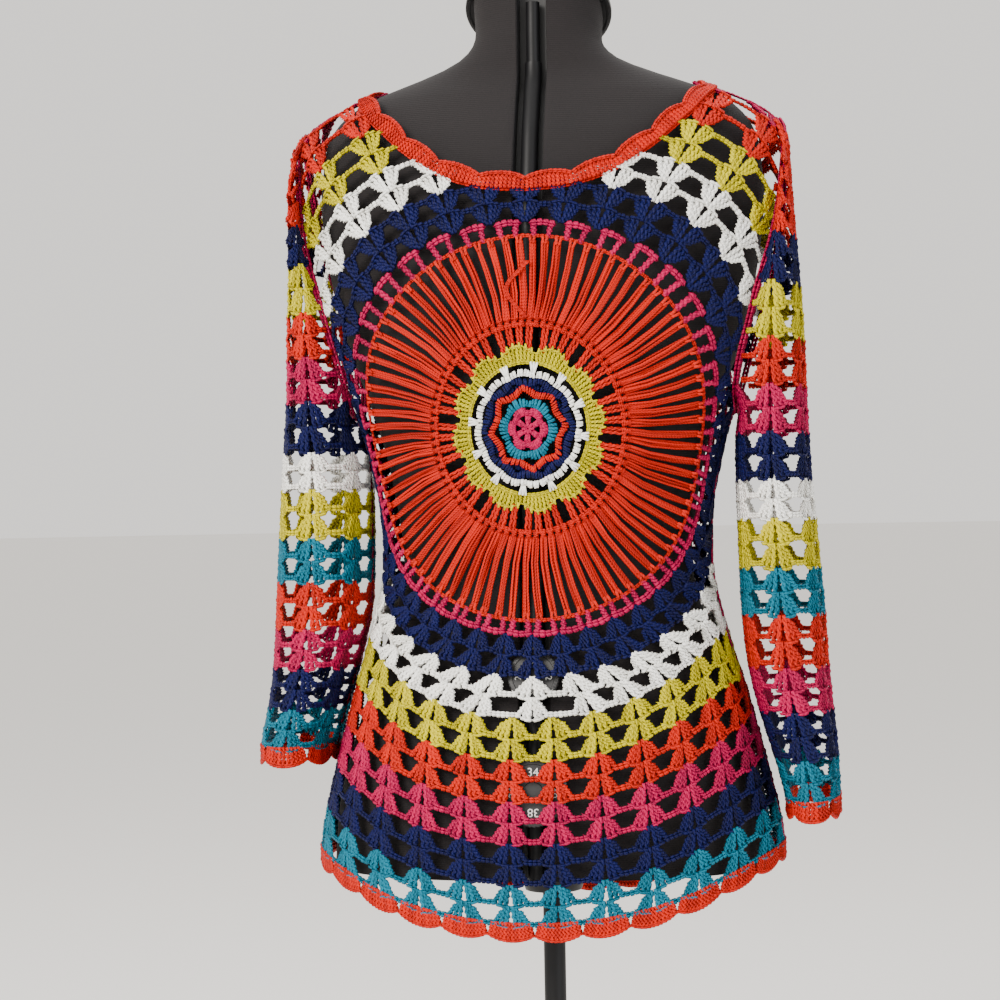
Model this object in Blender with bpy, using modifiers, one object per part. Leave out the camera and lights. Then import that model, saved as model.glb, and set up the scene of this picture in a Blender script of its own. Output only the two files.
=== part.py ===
"""A crochet top with a round medallion on its back and its front, worn by a limbless dress form on a stand.

The wearer's back faces -Y and their left is at -X; +Z is up. The origin is on the floor, under the pole.
Sizes are in metres. Heights in the tables are above the form's lower edge.
"""
import math
from collections import namedtuple

import bmesh
import bpy
import numpy as np
from mathutils import Vector

COLLECTION = "crochet_top_on_dress_form"
BACK = -1
FRONT = 1

# ---- Driving sizes ----
FORM_BOTTOM = 0.420            # the form's lower edge above the floor
WALL = 0.002                   # crochet cotton, pressed flat
SEAM_GAP = 0.0003              # how far each cloth piece keeps from a seam line
ROUNDNESS = 2.3                # exponent of the torso's cross-sections: 2 is an ellipse

# The garment's cross-sections.
Girth = namedtuple("Girth", "height half_width back front")
GARMENT = (
    Girth(-0.060, 0.184, 0.118, 0.122),
    Girth(-0.020, 0.182, 0.120, 0.123),
    Girth(0.031, 0.177, 0.122, 0.122),
    Girth(0.078, 0.166, 0.119, 0.118),
    Girth(0.131, 0.152, 0.111, 0.109),
    Girth(0.181, 0.137, 0.101, 0.101),
    Girth(0.236, 0.127, 0.093, 0.100),
    Girth(0.281, 0.129, 0.097, 0.108),
    Girth(0.321, 0.137, 0.104, 0.119),
    Girth(0.359, 0.150, 0.108, 0.128),
    Girth(0.401, 0.168, 0.110, 0.131),
    Girth(0.441, 0.180, 0.108, 0.125),
    Girth(0.481, 0.187, 0.104, 0.114),
    Girth(0.516, 0.189, 0.098, 0.102),
    Girth(0.541, 0.189, 0.090, 0.091),
    Girth(0.560, 0.187, 0.081, 0.081),
    Girth(0.571, 0.182, 0.075, 0.074),
    Girth(0.581, 0.169, 0.069, 0.067),
    Girth(0.590, 0.150, 0.063, 0.061),
    Girth(0.597, 0.132, 0.058, 0.056),
    Girth(0.603, 0.115, 0.053, 0.051),
    Girth(0.609, 0.098, 0.048, 0.046),
)

# The form's cross-sections, from its lower edge to its neck.
FORM = (
    Girth(0.000, 0.170, 0.109, 0.110),
    Girth(0.050, 0.165, 0.111, 0.110),
    Girth(0.100, 0.152, 0.106, 0.103),
    Girth(0.150, 0.135, 0.096, 0.093),
    Girth(0.200, 0.118, 0.085, 0.086),
    Girth(0.236, 0.112, 0.080, 0.086),
    Girth(0.280, 0.117, 0.083, 0.094),
    Girth(0.320, 0.125, 0.091, 0.107),
    Girth(0.359, 0.137, 0.097, 0.118),
    Girth(0.401, 0.153, 0.100, 0.122),
    Girth(0.441, 0.163, 0.098, 0.115),
    Girth(0.481, 0.170, 0.094, 0.103),
    Girth(0.516, 0.173, 0.088, 0.090),
    Girth(0.541, 0.171, 0.080, 0.079),
    Girth(0.560, 0.168, 0.073, 0.071),
    Girth(0.572, 0.162, 0.067, 0.065),
    Girth(0.583, 0.152, 0.061, 0.059),
    Girth(0.592, 0.138, 0.056, 0.054),
    Girth(0.5975, 0.126, 0.0525, 0.051),
    Girth(0.604, 0.108, 0.049, 0.048),
    Girth(0.613, 0.083, 0.047, 0.047),
    Girth(0.624, 0.064, 0.047, 0.047),
    Girth(0.637, 0.053, 0.047, 0.047),
    Girth(0.655, 0.049, 0.046, 0.046),
    Girth(0.685, 0.050, 0.047, 0.047),
)

# Where the panel is cut: the neckline's height across the panel, and the armhole's place at each height.
# "across" is a fraction of the way from the panel's middle (0) to its side or shoulder seam (1).
Edge = namedtuple("Edge", "across height")
NECKLINE = (
    Edge(0.00, 0.515),
    Edge(0.14, 0.518),
    Edge(0.27, 0.528),
    Edge(0.40, 0.547),
    Edge(0.52, 0.567),
    Edge(0.68, 0.584),
    Edge(1.00, 0.599),
)
NECK_BEND = 0.84               # an extra line meets the neckline here, so its edge stays round
ARMHOLE = (
    Edge(1.000, 0.347),
    Edge(0.920, 0.352),
    Edge(0.850, 0.360),
    Edge(0.795, 0.375),
    Edge(0.765, 0.400),
    Edge(0.775, 0.440),
    Edge(0.825, 0.480),
    Edge(0.870, 0.517),
    Edge(0.910, 0.545),
    Edge(0.950, 0.562),
    Edge(1.000, 0.571),
)

# ---- The panels' crochet ----
MEDALLION_HEIGHT = 0.334
SQUARES_INSIDE = 0.1405        # the ring of open squares, from the medallion's middle
SQUARES_OUTSIDE = 0.1505
ROUND_START = 0.155            # where the shell rounds start, and how deep each one is
ROUND_DEPTH = 0.0152
ROUNDS = 14
YOKE_START = 0.006             # how much further out the rounds lie toward the shoulders
YOKE_DEPTH = 0.0026
SIDE_STRETCH = 0.0073          # how much each round is pulled out toward the side seam, and the most it is
SIDE_STRETCH_LIMIT = 0.037
SIDE_STRETCH_FROM = 0.55
UPPER_COLUMN = math.radians(10)      # the angle between shell columns above and below the medallion's middle
LOWER_COLUMN = math.radians(7.5)
HEM_COLUMNS = 14               # shell columns across a panel's hem
COLUMNS_TURN = (1.0, 4.5)      # the rounds between which the columns turn from radial to upright
HOLE_SHARE = 0.27              # half a hole's width, as a share of the space between columns
HEM_MIDDLE = 0.12              # half the width of the strip at the bottom that opens into the middle gap
HOLE_ROUNDS = (10, 11, 12, 13)       # the rounds whose gaps are wide enough to cut
HOLE_IN_ROUND = (0.22, 0.80)
COARSE_RADII = (0.040, 0.078, 0.110)
COARSE_LINES = 42
PLAIN_LEVELS = (1.5, 3.0, 4.5, 6.0, 8.0)

# ---- The sleeves ----
SLEEVE_ROUNDNESS = 2.2
SLEEVE_COLUMNS = 8
SLEEVE_HOLE_ROUNDS = 4
SLEEVE_STANDOFF = 0.0028       # between the armhole's edge and the sleeve's edge
Tube = namedtuple("Tube", "height outer inner half_depth")
LEFT_SLEEVE = (
    Tube(0.0805, 0.226, 0.172, 0.066),
    Tube(0.098, 0.224, 0.170, 0.065),
    Tube(0.133, 0.217, 0.160, 0.062),
    Tube(0.164, 0.214, 0.151, 0.060),
    Tube(0.203, 0.212, 0.142, 0.060),
    Tube(0.265, 0.208, 0.140, 0.060),
    Tube(0.320, 0.204, 0.142, 0.060),
    Tube(0.347, 0.201, 0.150, 0.061),
    Tube(0.414, 0.198, 0.160, 0.064),
    Tube(0.460, 0.194, 0.170, 0.064),
    Tube(0.515, 0.192, 0.180, 0.056),
    Tube(0.556, 0.191, 0.186, 0.030),
)
RIGHT_SLEEVE = (
    Tube(0.0376, 0.223, 0.184, 0.068),
    Tube(0.055, 0.222, 0.182, 0.067),
    Tube(0.084, 0.221, 0.174, 0.064),
    Tube(0.117, 0.218, 0.164, 0.062),
    Tube(0.152, 0.215, 0.156, 0.060),
    Tube(0.190, 0.213, 0.152, 0.060),
    Tube(0.250, 0.208, 0.150, 0.060),
    Tube(0.320, 0.203, 0.149, 0.060),
    Tube(0.347, 0.202, 0.152, 0.061),
    Tube(0.414, 0.200, 0.160, 0.064),
    Tube(0.460, 0.197, 0.170, 0.064),
    Tube(0.515, 0.193, 0.180, 0.056),
    Tube(0.556, 0.191, 0.186, 0.030),
)
SLEEVE_TOP = 0.556
SLEEVE_ROUND_DEPTH = 0.0175
CUFF_EDGING = 0.010

# ---- Edgings ----
NECK_SCALLOPS = 18
SCALLOP_DEPTH = 0.011
SCALLOP_VALLEY = 0.006
HEM_SCALLOP_DEPTH = 0.010
HEM_SCALLOP_VALLEY = 0.003
EDGING_GAP = 0.0008
NECKBAND_GAP = 0.0020         # wider, because the shoulders curve away under the band's edge
SCALLOP_PARTS = 4

# ---- The stand ----
POLE_RADIUS = 0.0085
BASE_RADIUS = 0.160
BASE_THICKNESS = 0.010
HUB_RADIUS = 0.022
HUB_HEIGHT = 0.030
COLLAR_HEIGHT = 0.022
SLOT_HALF_WIDTH = 0.011
SLOT_DEPTH = 0.0165
RAIL_RADIUS = 0.0065
RAIL_CLEARANCE = 0.0011
RAIL_TOP = 0.662               # the rod ends inside the neck, under its cap
NECK_TILT = math.radians(28)   # the neck's top face falls toward the front
NECK_TILT_FROM = 0.613         # the sections below here lie level
NECK_CAP_RIM = 0.057


def smooth(rows, field, at):
    """Read a table's field at the places given, along a curve that never overshoots its rows."""
    key = "height" if hasattr(rows[0], "half_width") or hasattr(rows[0], "outer") else None
    return monotone([getattr(row, key or "across") for row in rows], [getattr(row, field) for row in rows], at)


def monotone(xs, ys, at):
    """A monotone cubic curve through the points, read at the places given."""
    xs = np.array(xs, float)
    ys = np.array(ys, float)
    at = np.clip(np.asarray(at, float), xs[0], xs[-1])
    width = np.diff(xs)
    slope = np.diff(ys) / width
    tangent = np.concatenate([slope[:1], (slope[:-1] + slope[1:]) / 2, slope[-1:]])
    turns = slope[:-1] * slope[1:] <= 0
    tangent[1:-1][turns] = 0
    limit = 3 * np.minimum(np.abs(slope[:-1]), np.abs(slope[1:]))
    tangent[1:-1] = np.clip(tangent[1:-1], -limit, limit)
    i = np.clip(np.searchsorted(xs, at, side="right") - 1, 0, len(width) - 1)
    f = (at - xs[i]) / width[i]
    return ((2 * f**3 - 3 * f**2 + 1) * ys[i] + (f**3 - 2 * f**2 + f) * width[i] * tangent[i]
            + (3 * f**2 - 2 * f**3) * ys[i + 1] + (f**3 - f**2) * width[i] * tangent[i + 1])


class Torso:
    """A torso-shaped skin, read by a place across it (0 middle, 1 side) and a height."""

    def __init__(self, table):
        self.heights = np.linspace(table[0].height, table[-1].height, 180)
        turn = np.linspace(0, math.pi / 2, 240)
        self.across = np.linspace(0, 1, 61)
        width = smooth(table, "half_width", self.heights)
        self.arc = np.zeros(len(self.heights))
        self.places = {}
        for side, field in ((BACK, "back"), (FRONT, "front")):
            depth = smooth(table, field, self.heights)
            grid = np.zeros((len(self.heights), len(self.across), 2))
            for row in range(len(self.heights)):
                x = width[row] * np.sin(turn) ** (2 / ROUNDNESS)
                y = depth[row] * np.cos(turn) ** (2 / ROUNDNESS)
                run = np.concatenate([[0], np.cumsum(np.hypot(np.diff(x), np.diff(y)))])
                grid[row, :, 0] = np.interp(self.across * run[-1], run, x)
                grid[row, :, 1] = np.interp(self.across * run[-1], run, y)
                if side == BACK:
                    self.arc[row] = run[-1]
            self.places[side] = grid

    def quarter(self, height):
        """The way round from the middle of the back to the side, at a height."""
        return float(np.interp(height, self.heights, self.arc))

    def point(self, across, height, side):
        """The place on the skin; across is negative to the left, and the heights are above the form's edge."""
        row = np.clip((height - self.heights[0]) / (self.heights[1] - self.heights[0]), 0, len(self.heights) - 1.001)
        column = min(abs(across), 1.0) * (len(self.across) - 1)
        r, c = int(row), min(int(column), len(self.across) - 2)
        fr, fc = row - r, column - c
        grid = self.places[side]
        near = grid[r, c] * (1 - fc) + grid[r, c + 1] * fc
        far = grid[r + 1, c] * (1 - fc) + grid[r + 1, c + 1] * fc
        x, y = near * (1 - fr) + far * fr
        return Vector((math.copysign(x, across), side * (y + SEAM_GAP), height + FORM_BOTTOM))


SKIN = Torso(GARMENT)


# ---- The plan of a panel: where its rounds and columns lie ----

def ease(x):
    x = min(max(x, 0.0), 1.0)
    return x * x * (3 - 2 * x)


def round_radius(level, turn, across):
    """How far a round lies from the medallion's middle. turn is measured from straight up."""
    upper = max(math.cos(turn), 0.0)
    corner = math.sin(2 * turn) ** 2 if upper > 0 else 0.0
    stretch = max(0.0, (across - SIDE_STRETCH_FROM) / (1 - SIDE_STRETCH_FROM)) ** 2 * (1 - ease(2 * upper))
    return (ROUND_START + YOKE_START * corner + level * (ROUND_DEPTH + YOKE_DEPTH * corner)
            + min(SIDE_STRETCH * max(level, 0), SIDE_STRETCH_LIMIT) * stretch)


def hem_place(below):
    """Where a lower column meets the hem, across the panel; below is its angle from straight down.

    The column straight below the medallion parts in two on its way, with a gap between.
    """
    step = below / LOWER_COLUMN
    edge = 0.5 - HOLE_SHARE
    if step < edge:
        step = float(np.interp(step, (0, HEM_MIDDLE, edge), (-0.5, HOLE_SHARE - 0.5, edge)))
    return (2 * step + 1) / HEM_COLUMNS


def panel_place(turn, level):
    """Where the column that leaves the medallion at an angle crosses a round: (across, height)."""
    below = math.pi - abs(turn)
    settled = ease((level - COLUMNS_TURN[0]) / (COLUMNS_TURN[1] - COLUMNS_TURN[0]))
    settled *= ease((math.pi / 2 - below) / math.radians(15))
    radius = ROUND_START + level * ROUND_DEPTH
    s, t = radius * math.sin(abs(turn)), radius * math.cos(turn)
    for _ in range(8):
        quarter = SKIN.quarter(t + MEDALLION_HEIGHT)
        radius = round_radius(level, turn, min(s / quarter, 1.0))
        s, t = radius * math.sin(abs(turn)), radius * math.cos(turn)
        if settled > 0:
            s = s * (1 - settled) + hem_place(below) * quarter * settled
            t = -math.sqrt(max(radius**2 - s**2, 0.0))
    return math.copysign(s / SKIN.quarter(t + MEDALLION_HEIGHT), turn), t + MEDALLION_HEIGHT


def inside_panel(across, height):
    """Whether a place is inside the panel's side seam, armhole, shoulder and neckline."""
    limit = 1.0
    if ARMHOLE[0].height < height < ARMHOLE[-1].height:
        limit = float(monotone([e.height for e in ARMHOLE], [e.across for e in ARMHOLE], height))
    return abs(across) <= limit + 1e-4 and height <= neckline(across) + 1e-6


def neckline(across):
    return float(smooth(NECKLINE, "height", abs(across)))


def corner_turn(across, height):
    s = across * SKIN.quarter(height)
    return math.atan2(s, height - MEDALLION_HEIGHT)


def gap_turns():
    """The angles of the gaps between the shell columns, which are also the open squares' angles."""
    upper = [UPPER_COLUMN * (i + 0.5) for i in range(-9, 9)]
    lower = [math.pi - LOWER_COLUMN * (i + 0.5) for i in range(12)]
    return [(turn, UPPER_COLUMN) for turn in upper] + [(sign * turn, LOWER_COLUMN) for turn in lower for sign in (1, -1)]


def panel_lines():
    """The lines that run out from the medallion: each gap's two edges, the seams' corners and the hem's middle."""
    turns = [turn + sign * HOLE_SHARE * step for turn, step in gap_turns() for sign in (1, -1)]
    corners = [corner_turn(1.0, edge.height) for edge in (ARMHOLE[0], ARMHOLE[-1], NECKLINE[-1])]
    corners.append(corner_turn(NECK_BEND, neckline(NECK_BEND)))
    side_corner = math.pi - LOWER_COLUMN * (HEM_COLUMNS / 2 - 0.5)
    hem_middle = math.pi - LOWER_COLUMN * HEM_MIDDLE
    turns += [sign * turn for turn in (*corners, side_corner, hem_middle) for sign in (1, -1)]
    return sorted(turns)


def last_level(turn):
    """How far along its line a column goes before it leaves the panel."""
    step = 0.25
    level = 0.0
    while level < ROUNDS and inside_panel(*panel_place(turn, level + step)):
        level += step
    if level >= ROUNDS:
        return float(ROUNDS)
    low, high = level, level + step
    for _ in range(24):
        middle = (low + high) / 2
        low, high = (middle, high) if inside_panel(*panel_place(turn, middle)) else (low, middle)
    return min(low, float(ROUNDS))


def medallion_place(turn, radius):
    s, t = radius * math.sin(turn), radius * math.cos(turn)
    return s / SKIN.quarter(t + MEDALLION_HEIGHT), t + MEDALLION_HEIGHT


# ---- Meshes ----

def material(name, colour, roughness=0.85, metallic=0.0):
    made = bpy.data.materials.new(name)
    made.use_nodes = True
    shader = made.node_tree.nodes["Principled BSDF"]
    linear = [((int(colour[i:i + 2], 16) / 255 + 0.055) / 1.055) ** 2.4 for i in (0, 2, 4)]
    shader.inputs["Base Color"].default_value = (*linear, 1)
    shader.inputs["Roughness"].default_value = roughness
    shader.inputs["Metallic"].default_value = metallic
    return made


def add_object(name, bm, look):
    mesh = bpy.data.meshes.new(name)
    bm.to_mesh(mesh)
    bm.free()
    mesh.materials.append(look)
    thing = bpy.data.objects.new(name, mesh)
    bpy.data.collections[COLLECTION].objects.link(thing)
    return thing


def add_wall(name, bm, look):
    """Turn an open cloth surface into a wall, with the surface in its middle."""
    bmesh.ops.remove_doubles(bm, verts=bm.verts, dist=0.00005)
    loose = [vert for vert in bm.verts if not vert.link_faces]
    bmesh.ops.delete(bm, geom=loose, context="VERTS")
    bmesh.ops.recalc_face_normals(bm, faces=bm.faces)
    cloth = add_object(name, bm, look)
    wall = cloth.modifiers.new("wall", "SOLIDIFY")
    wall.thickness = WALL
    wall.offset = 0
    wall.use_even_offset = False
    return cloth


def add_face(bm, verts):
    """Add a face over the places that differ, if it has an area."""
    kept = []
    for vert in verts:
        if all((vert.co - other.co).length > 0.0002 for other in kept):
            kept.append(vert)
    if len(kept) > 2 and bm.faces.get(kept) is None:
        bm.faces.new(kept)


def zip_rings(bm, inner, outer):
    """Join two closed rings, given as (turn, vert) in order, with triangles."""
    i = j = 0
    while i < len(inner) or j < len(outer):
        a, b = inner[i % len(inner)], outer[j % len(outer)]
        next_a = inner[(i + 1) % len(inner)][0] + (math.tau if i + 1 >= len(inner) else 0)
        next_b = outer[(j + 1) % len(outer)][0] + (math.tau if j + 1 >= len(outer) else 0)
        if j >= len(outer) or (i < len(inner) and next_a < next_b):
            add_face(bm, (a[1], b[1], inner[(i + 1) % len(inner)][1]))
            i += 1
        else:
            add_face(bm, (a[1], b[1], outer[(j + 1) % len(outer)][1]))
            j += 1


def panel(name, side, look):
    bm = bmesh.new()
    lines = panel_lines()
    ends = [last_level(turn) for turn in lines]
    holes = [(turn, HOLE_SHARE * step) for turn, step in gap_turns()]

    def in_gap(turn):
        return any(abs(turn - gap) < half * 0.999 for gap, half in holes)

    def ring(turns, radius):
        return [(turn, bm.verts.new(SKIN.point(*medallion_place(turn, radius), side))) for turn in turns]

    # The medallion: a few plain rings, then the ring of open squares.
    coarse = [-math.pi + math.tau * (i + 0.5) / COARSE_LINES for i in range(COARSE_LINES)]
    middle = bm.verts.new(SKIN.point(0.0, MEDALLION_HEIGHT, side))
    rings = [ring(coarse, radius) for radius in COARSE_RADII]
    for i in range(COARSE_LINES):
        after = (i + 1) % COARSE_LINES
        add_face(bm, (middle, rings[0][i][1], rings[0][after][1]))
        for near, far in zip(rings, rings[1:]):
            add_face(bm, (near[i][1], far[i][1], far[after][1], near[after][1]))
    inner = ring(lines, SQUARES_INSIDE)
    zip_rings(bm, rings[-1], inner)
    outer = ring(lines, SQUARES_OUTSIDE)

    # The shell rounds: each line carries on until it leaves the panel.
    levels = list(PLAIN_LEVELS)
    for level in HOLE_ROUNDS:
        levels += [level + share for share in HOLE_IN_ROUND]
    levels.append(float(ROUNDS))
    grid = [[vert for _, vert in inner], [vert for _, vert in outer]]
    for level in levels:
        row = []
        for i, turn in enumerate(lines):
            if level <= ends[i]:
                row.append(bm.verts.new(SKIN.point(*panel_place(turn, level), side)))
            elif levels.index(level) == 0 or levels[levels.index(level) - 1] < ends[i]:
                row.append(bm.verts.new(SKIN.point(*panel_place(turn, ends[i]), side)))
            else:
                row.append(grid[-1][i])
        grid.append(row)
    for r in range(len(grid) - 1):
        middle_level = -1 if r == 0 else (levels[r - 2] + levels[r - 1]) / 2 if r > 1 else 0
        for i, turn in enumerate(lines):
            after = (i + 1) % len(lines)
            mid_turn = (turn + lines[after]) / 2
            whole = r == 0 or (after > 0 and levels[r - 1] <= min(ends[i], ends[after]))
            cut = r == 0 or any(level + HOLE_IN_ROUND[0] < middle_level < level + HOLE_IN_ROUND[1]
                                for level in HOLE_ROUNDS)
            hem_split = r > 0 and after == 0
            if cut and after > 0 and whole and in_gap(mid_turn):
                continue
            if cut and hem_split:
                continue
            add_face(bm, (grid[r][i], grid[r + 1][i], grid[r + 1][after], grid[r][after]))
    return add_wall(name, bm, look)


def armhole_heights():
    """The heights at which the panel's lines meet its armhole, from the underarm up."""
    met = [panel_place(turn, last_level(turn)) for turn in panel_lines() if turn > 0]
    return sorted({round(height, 6) for across, height in met
                   if ARMHOLE[0].height + 0.001 < height < SLEEVE_TOP and across < 1.0 - 1e-3})


class Sleeve:
    """One sleeve: a flat hanging tube that opens into the armhole above the underarm."""

    def __init__(self, table, direction):
        self.table = table
        self.direction = direction
        self.underarm = ARMHOLE[0].height
        self.cuff = table[0].height + CUFF_EDGING
        self.full = self.outline(self.underarm, BACK)[0][-1]

    def outline(self, height, side):
        """The half section from the outer edge inward: the way run, x and depth at each step."""
        outer, inner, half_depth = (float(smooth(self.table, f, height)) for f in ("outer", "inner", "half_depth"))
        start_y = 0.0
        if height > self.underarm:
            across = float(monotone([e.height for e in ARMHOLE], [e.across for e in ARMHOLE], height))
            edge = SKIN.point(across, height, side)
            blend = ease((height - self.underarm) / 0.012)
            inner = (edge.x + SLEEVE_STANDOFF) * blend + inner * (1 - blend)
            start_y = max(abs(edge.y) - SEAM_GAP, 0.0)
        depth = max(half_depth, start_y * 1.02)
        start = math.asin((start_y / depth) ** (SLEEVE_ROUNDNESS / 2))
        reach = math.cos(start) ** (2 / SLEEVE_ROUNDNESS)
        half_width = (outer - inner) / (1 + reach)
        turn = np.linspace(math.pi, start, 120)
        cosine = np.cos(turn)
        x = outer - half_width - half_width * np.sign(cosine) * np.abs(cosine) ** (2 / SLEEVE_ROUNDNESS)
        y = depth * np.abs(np.sin(turn)) ** (2 / SLEEVE_ROUNDNESS)
        run = np.concatenate([[0], np.cumsum(np.hypot(np.diff(x), np.diff(y)))])
        return run, x, y

    def point(self, along, height, side, gap=SEAM_GAP):
        """A place on the sleeve: along is 0 at its outer edge and 1 at the underarm seam."""
        run, x, y = self.outline(height, side)
        reach = min(along * (self.full if height > self.underarm else run[-1]), run[-1])
        return Vector((self.direction * float(np.interp(reach, run, x)),
                       side * (float(np.interp(reach, run, y)) + gap), height + FORM_BOTTOM))


def sleeve_wall(name, sleeve, side, heights, hole_rounds, look):
    """Half the way round a sleeve, from its outer edge to its inner one, over a run of heights."""
    bm = bmesh.new()
    columns = SLEEVE_COLUMNS // 2
    gaps = [(i + 0.5) / columns for i in range(columns)]
    half = HOLE_SHARE / columns
    lines = sorted([0.0, 1.0] + [gap + sign * half for gap in gaps for sign in (1, -1)])
    grid = [[bm.verts.new(sleeve.point(along, height, side)) for along in lines] for height in heights]
    for r in range(len(heights) - 1):
        cut = r < 2 * hole_rounds and r % 2 == 1
        for i in range(len(lines) - 1):
            middle = (lines[i] + lines[i + 1]) / 2
            if cut and any(abs(middle - gap) < half for gap in gaps):
                continue
            add_face(bm, (grid[r][i], grid[r][i + 1], grid[r + 1][i + 1], grid[r + 1][i]))
    return add_wall(name, bm, look)


def sleeve_half(name, sleeve, side, look):
    """The tube up to just below the underarm, and above it the cap that opens into the armhole."""
    heights = [sleeve.cuff]
    for i in range(SLEEVE_HOLE_ROUNDS):
        heights += [sleeve.cuff + (i + share) * SLEEVE_ROUND_DEPTH for share in HOLE_IN_ROUND]
    plain = list(np.linspace(heights[-1], sleeve.underarm, 2 + int((sleeve.underarm - heights[-1]) / 0.034)))
    sleeve_wall(f"{name}_arm", sleeve, side, heights + plain[1:-1], SLEEVE_HOLE_ROUNDS, look)
    cap = [plain[-2] + SEAM_GAP, sleeve.underarm] + armhole_heights() + [SLEEVE_TOP]
    sleeve_wall(f"{name}_cap", sleeve, side, cap, 0, look)


def scalloped_ring(name, base, outward, scallops, depth, valley, look, gap=EDGING_GAP):
    """A closed edging whose free edge is a row of scallops; base and outward give each step's place and way."""
    bm = bmesh.new()
    steps = scallops * SCALLOP_PARTS
    near, far = [], []
    for i in range(steps):
        rise = math.sin(math.pi * (i % SCALLOP_PARTS) / SCALLOP_PARTS)
        start, way = base(i / steps), outward(i / steps)
        near.append(bm.verts.new(start + way * gap))
        far.append(bm.verts.new(start + way * (valley + (depth - valley) * rise)))
    for i in range(steps):
        after = (i + 1) % steps
        bm.faces.new((near[i], near[after], far[after], far[i]))
    return add_wall(name, bm, look)


def round_place(fraction):
    """Split a way round the garment, from the left side seam by the back, into (across, side)."""
    if fraction < 0.5:
        return 4 * fraction - 1, BACK
    return 3 - 4 * fraction, FRONT


def hem_height(across):
    """The height of the last round's edge."""
    quarter = SKIN.quarter(MEDALLION_HEIGHT - ROUND_START - ROUNDS * ROUND_DEPTH)
    t = 0.0
    for _ in range(6):
        radius = round_radius(ROUNDS, math.pi, abs(across))
        t = -math.sqrt(max(radius**2 - (across * quarter)**2, 0.0))
        quarter = SKIN.quarter(MEDALLION_HEIGHT + t)
    return MEDALLION_HEIGHT + t


def on_seam(place, across):
    return Vector((place.x, 0.0, place.z)) if abs(across) > 0.999 else place


def hem_edging(look):
    def base(fraction):
        across, side = round_place(fraction)
        return on_seam(SKIN.point(across, hem_height(across), side), across)

    return scalloped_ring("hem_edging", base, lambda _: Vector((0, 0, -1)), 2 * HEM_COLUMNS,
                          HEM_SCALLOP_DEPTH, HEM_SCALLOP_VALLEY, look)


def neckband(look):
    across = np.linspace(0, 1, 200)
    edge = [SKIN.point(u, neckline(u), BACK) for u in across]
    run = np.concatenate([[0], np.cumsum([(b - a).length for a, b in zip(edge, edge[1:])])])

    def even(fraction):
        """Scallops keep one width along the neckline, so the way round is measured along the edge."""
        u, side = round_place(fraction)
        return math.copysign(float(np.interp(abs(u) * run[-1], run, across)), u), side

    def base(fraction):
        u, side = even(fraction)
        return on_seam(SKIN.point(u, neckline(u), side), u)

    def outward(fraction):
        u, side = even(fraction)
        small = 0.002
        up = on_seam(SKIN.point(u, neckline(u) + small, side), u) - base(fraction)
        inner, outer = math.copysign(abs(u) - small, u), u
        along = SKIN.point(outer, neckline(outer), side) - SKIN.point(inner, neckline(inner), side)
        if abs(u) > 0.999:
            along = Vector((0, 1, 0))
        along.normalize()
        return (up - along * up.dot(along)).normalized()

    return scalloped_ring("neckband", base, outward, NECK_SCALLOPS, SCALLOP_DEPTH, SCALLOP_VALLEY, look,
                          NECKBAND_GAP)


def cuff_edging(name, sleeve, look):
    def base(fraction):
        across, side = round_place(fraction)
        along = (1 + across) / 2
        place = sleeve.point(along, sleeve.cuff, side)
        return Vector((place.x, 0.0, place.z)) if along in (0.0, 1.0) else place

    return scalloped_ring(name, base, lambda _: Vector((0, 0, -1)), SLEEVE_COLUMNS,
                          CUFF_EDGING, HEM_SCALLOP_VALLEY, look)


# ---- The dress form and its stand ----

FORM_STEPS = 7                 # points round each quarter of the torso


def neck_fall(height):
    """How steeply the section at a height falls toward the front."""
    top = FORM[-1].height
    return math.tan(NECK_TILT) * min(max((height - NECK_TILT_FROM) / (top - NECK_TILT_FROM), 0.0), 1.0)


def form_section(skin, height):
    """The form's outline at a height, with the slot down the middle of its back."""
    quarter = skin.quarter(height)
    slot = SLOT_HALF_WIDTH / quarter
    across = [slot + (1 - slot) * i / FORM_STEPS for i in range(FORM_STEPS + 1)]
    back = [skin.point(u, height, BACK) for u in across]
    front = [skin.point(u / 1.0, height, FRONT) for u in np.linspace(1, 0, FORM_STEPS + 1)[1:]]
    back = [on_seam(place, u) for place, u in zip(back, across)]
    right = [back[0] + Vector((0, SLOT_DEPTH, 0)), *back, *front]
    fall = neck_fall(height)
    right = [Vector((place.x, place.y, place.z - fall * (place.y - back[0].y))) for place in right]
    left = [Vector((-place.x, place.y, place.z)) for place in reversed(right[:-1])]
    return right + left


def dress_form(skin, look):
    bm = bmesh.new()
    rings = [[bm.verts.new(place) for place in form_section(skin, row.height)] for row in FORM]
    for low, high in zip(rings, rings[1:]):
        for i in range(len(low)):
            after = (i + 1) % len(low)
            bm.faces.new((low[i], low[after], high[after], high[i]))
    bm.faces.new(rings[0])
    bm.faces.new(rings[-1])
    bmesh.ops.recalc_face_normals(bm, faces=bm.faces)
    form = add_object("dress_form", bm, look)
    form.data.shade_smooth()
    form.data.set_sharp_from_angle(angle=math.radians(40))
    return form


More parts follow.
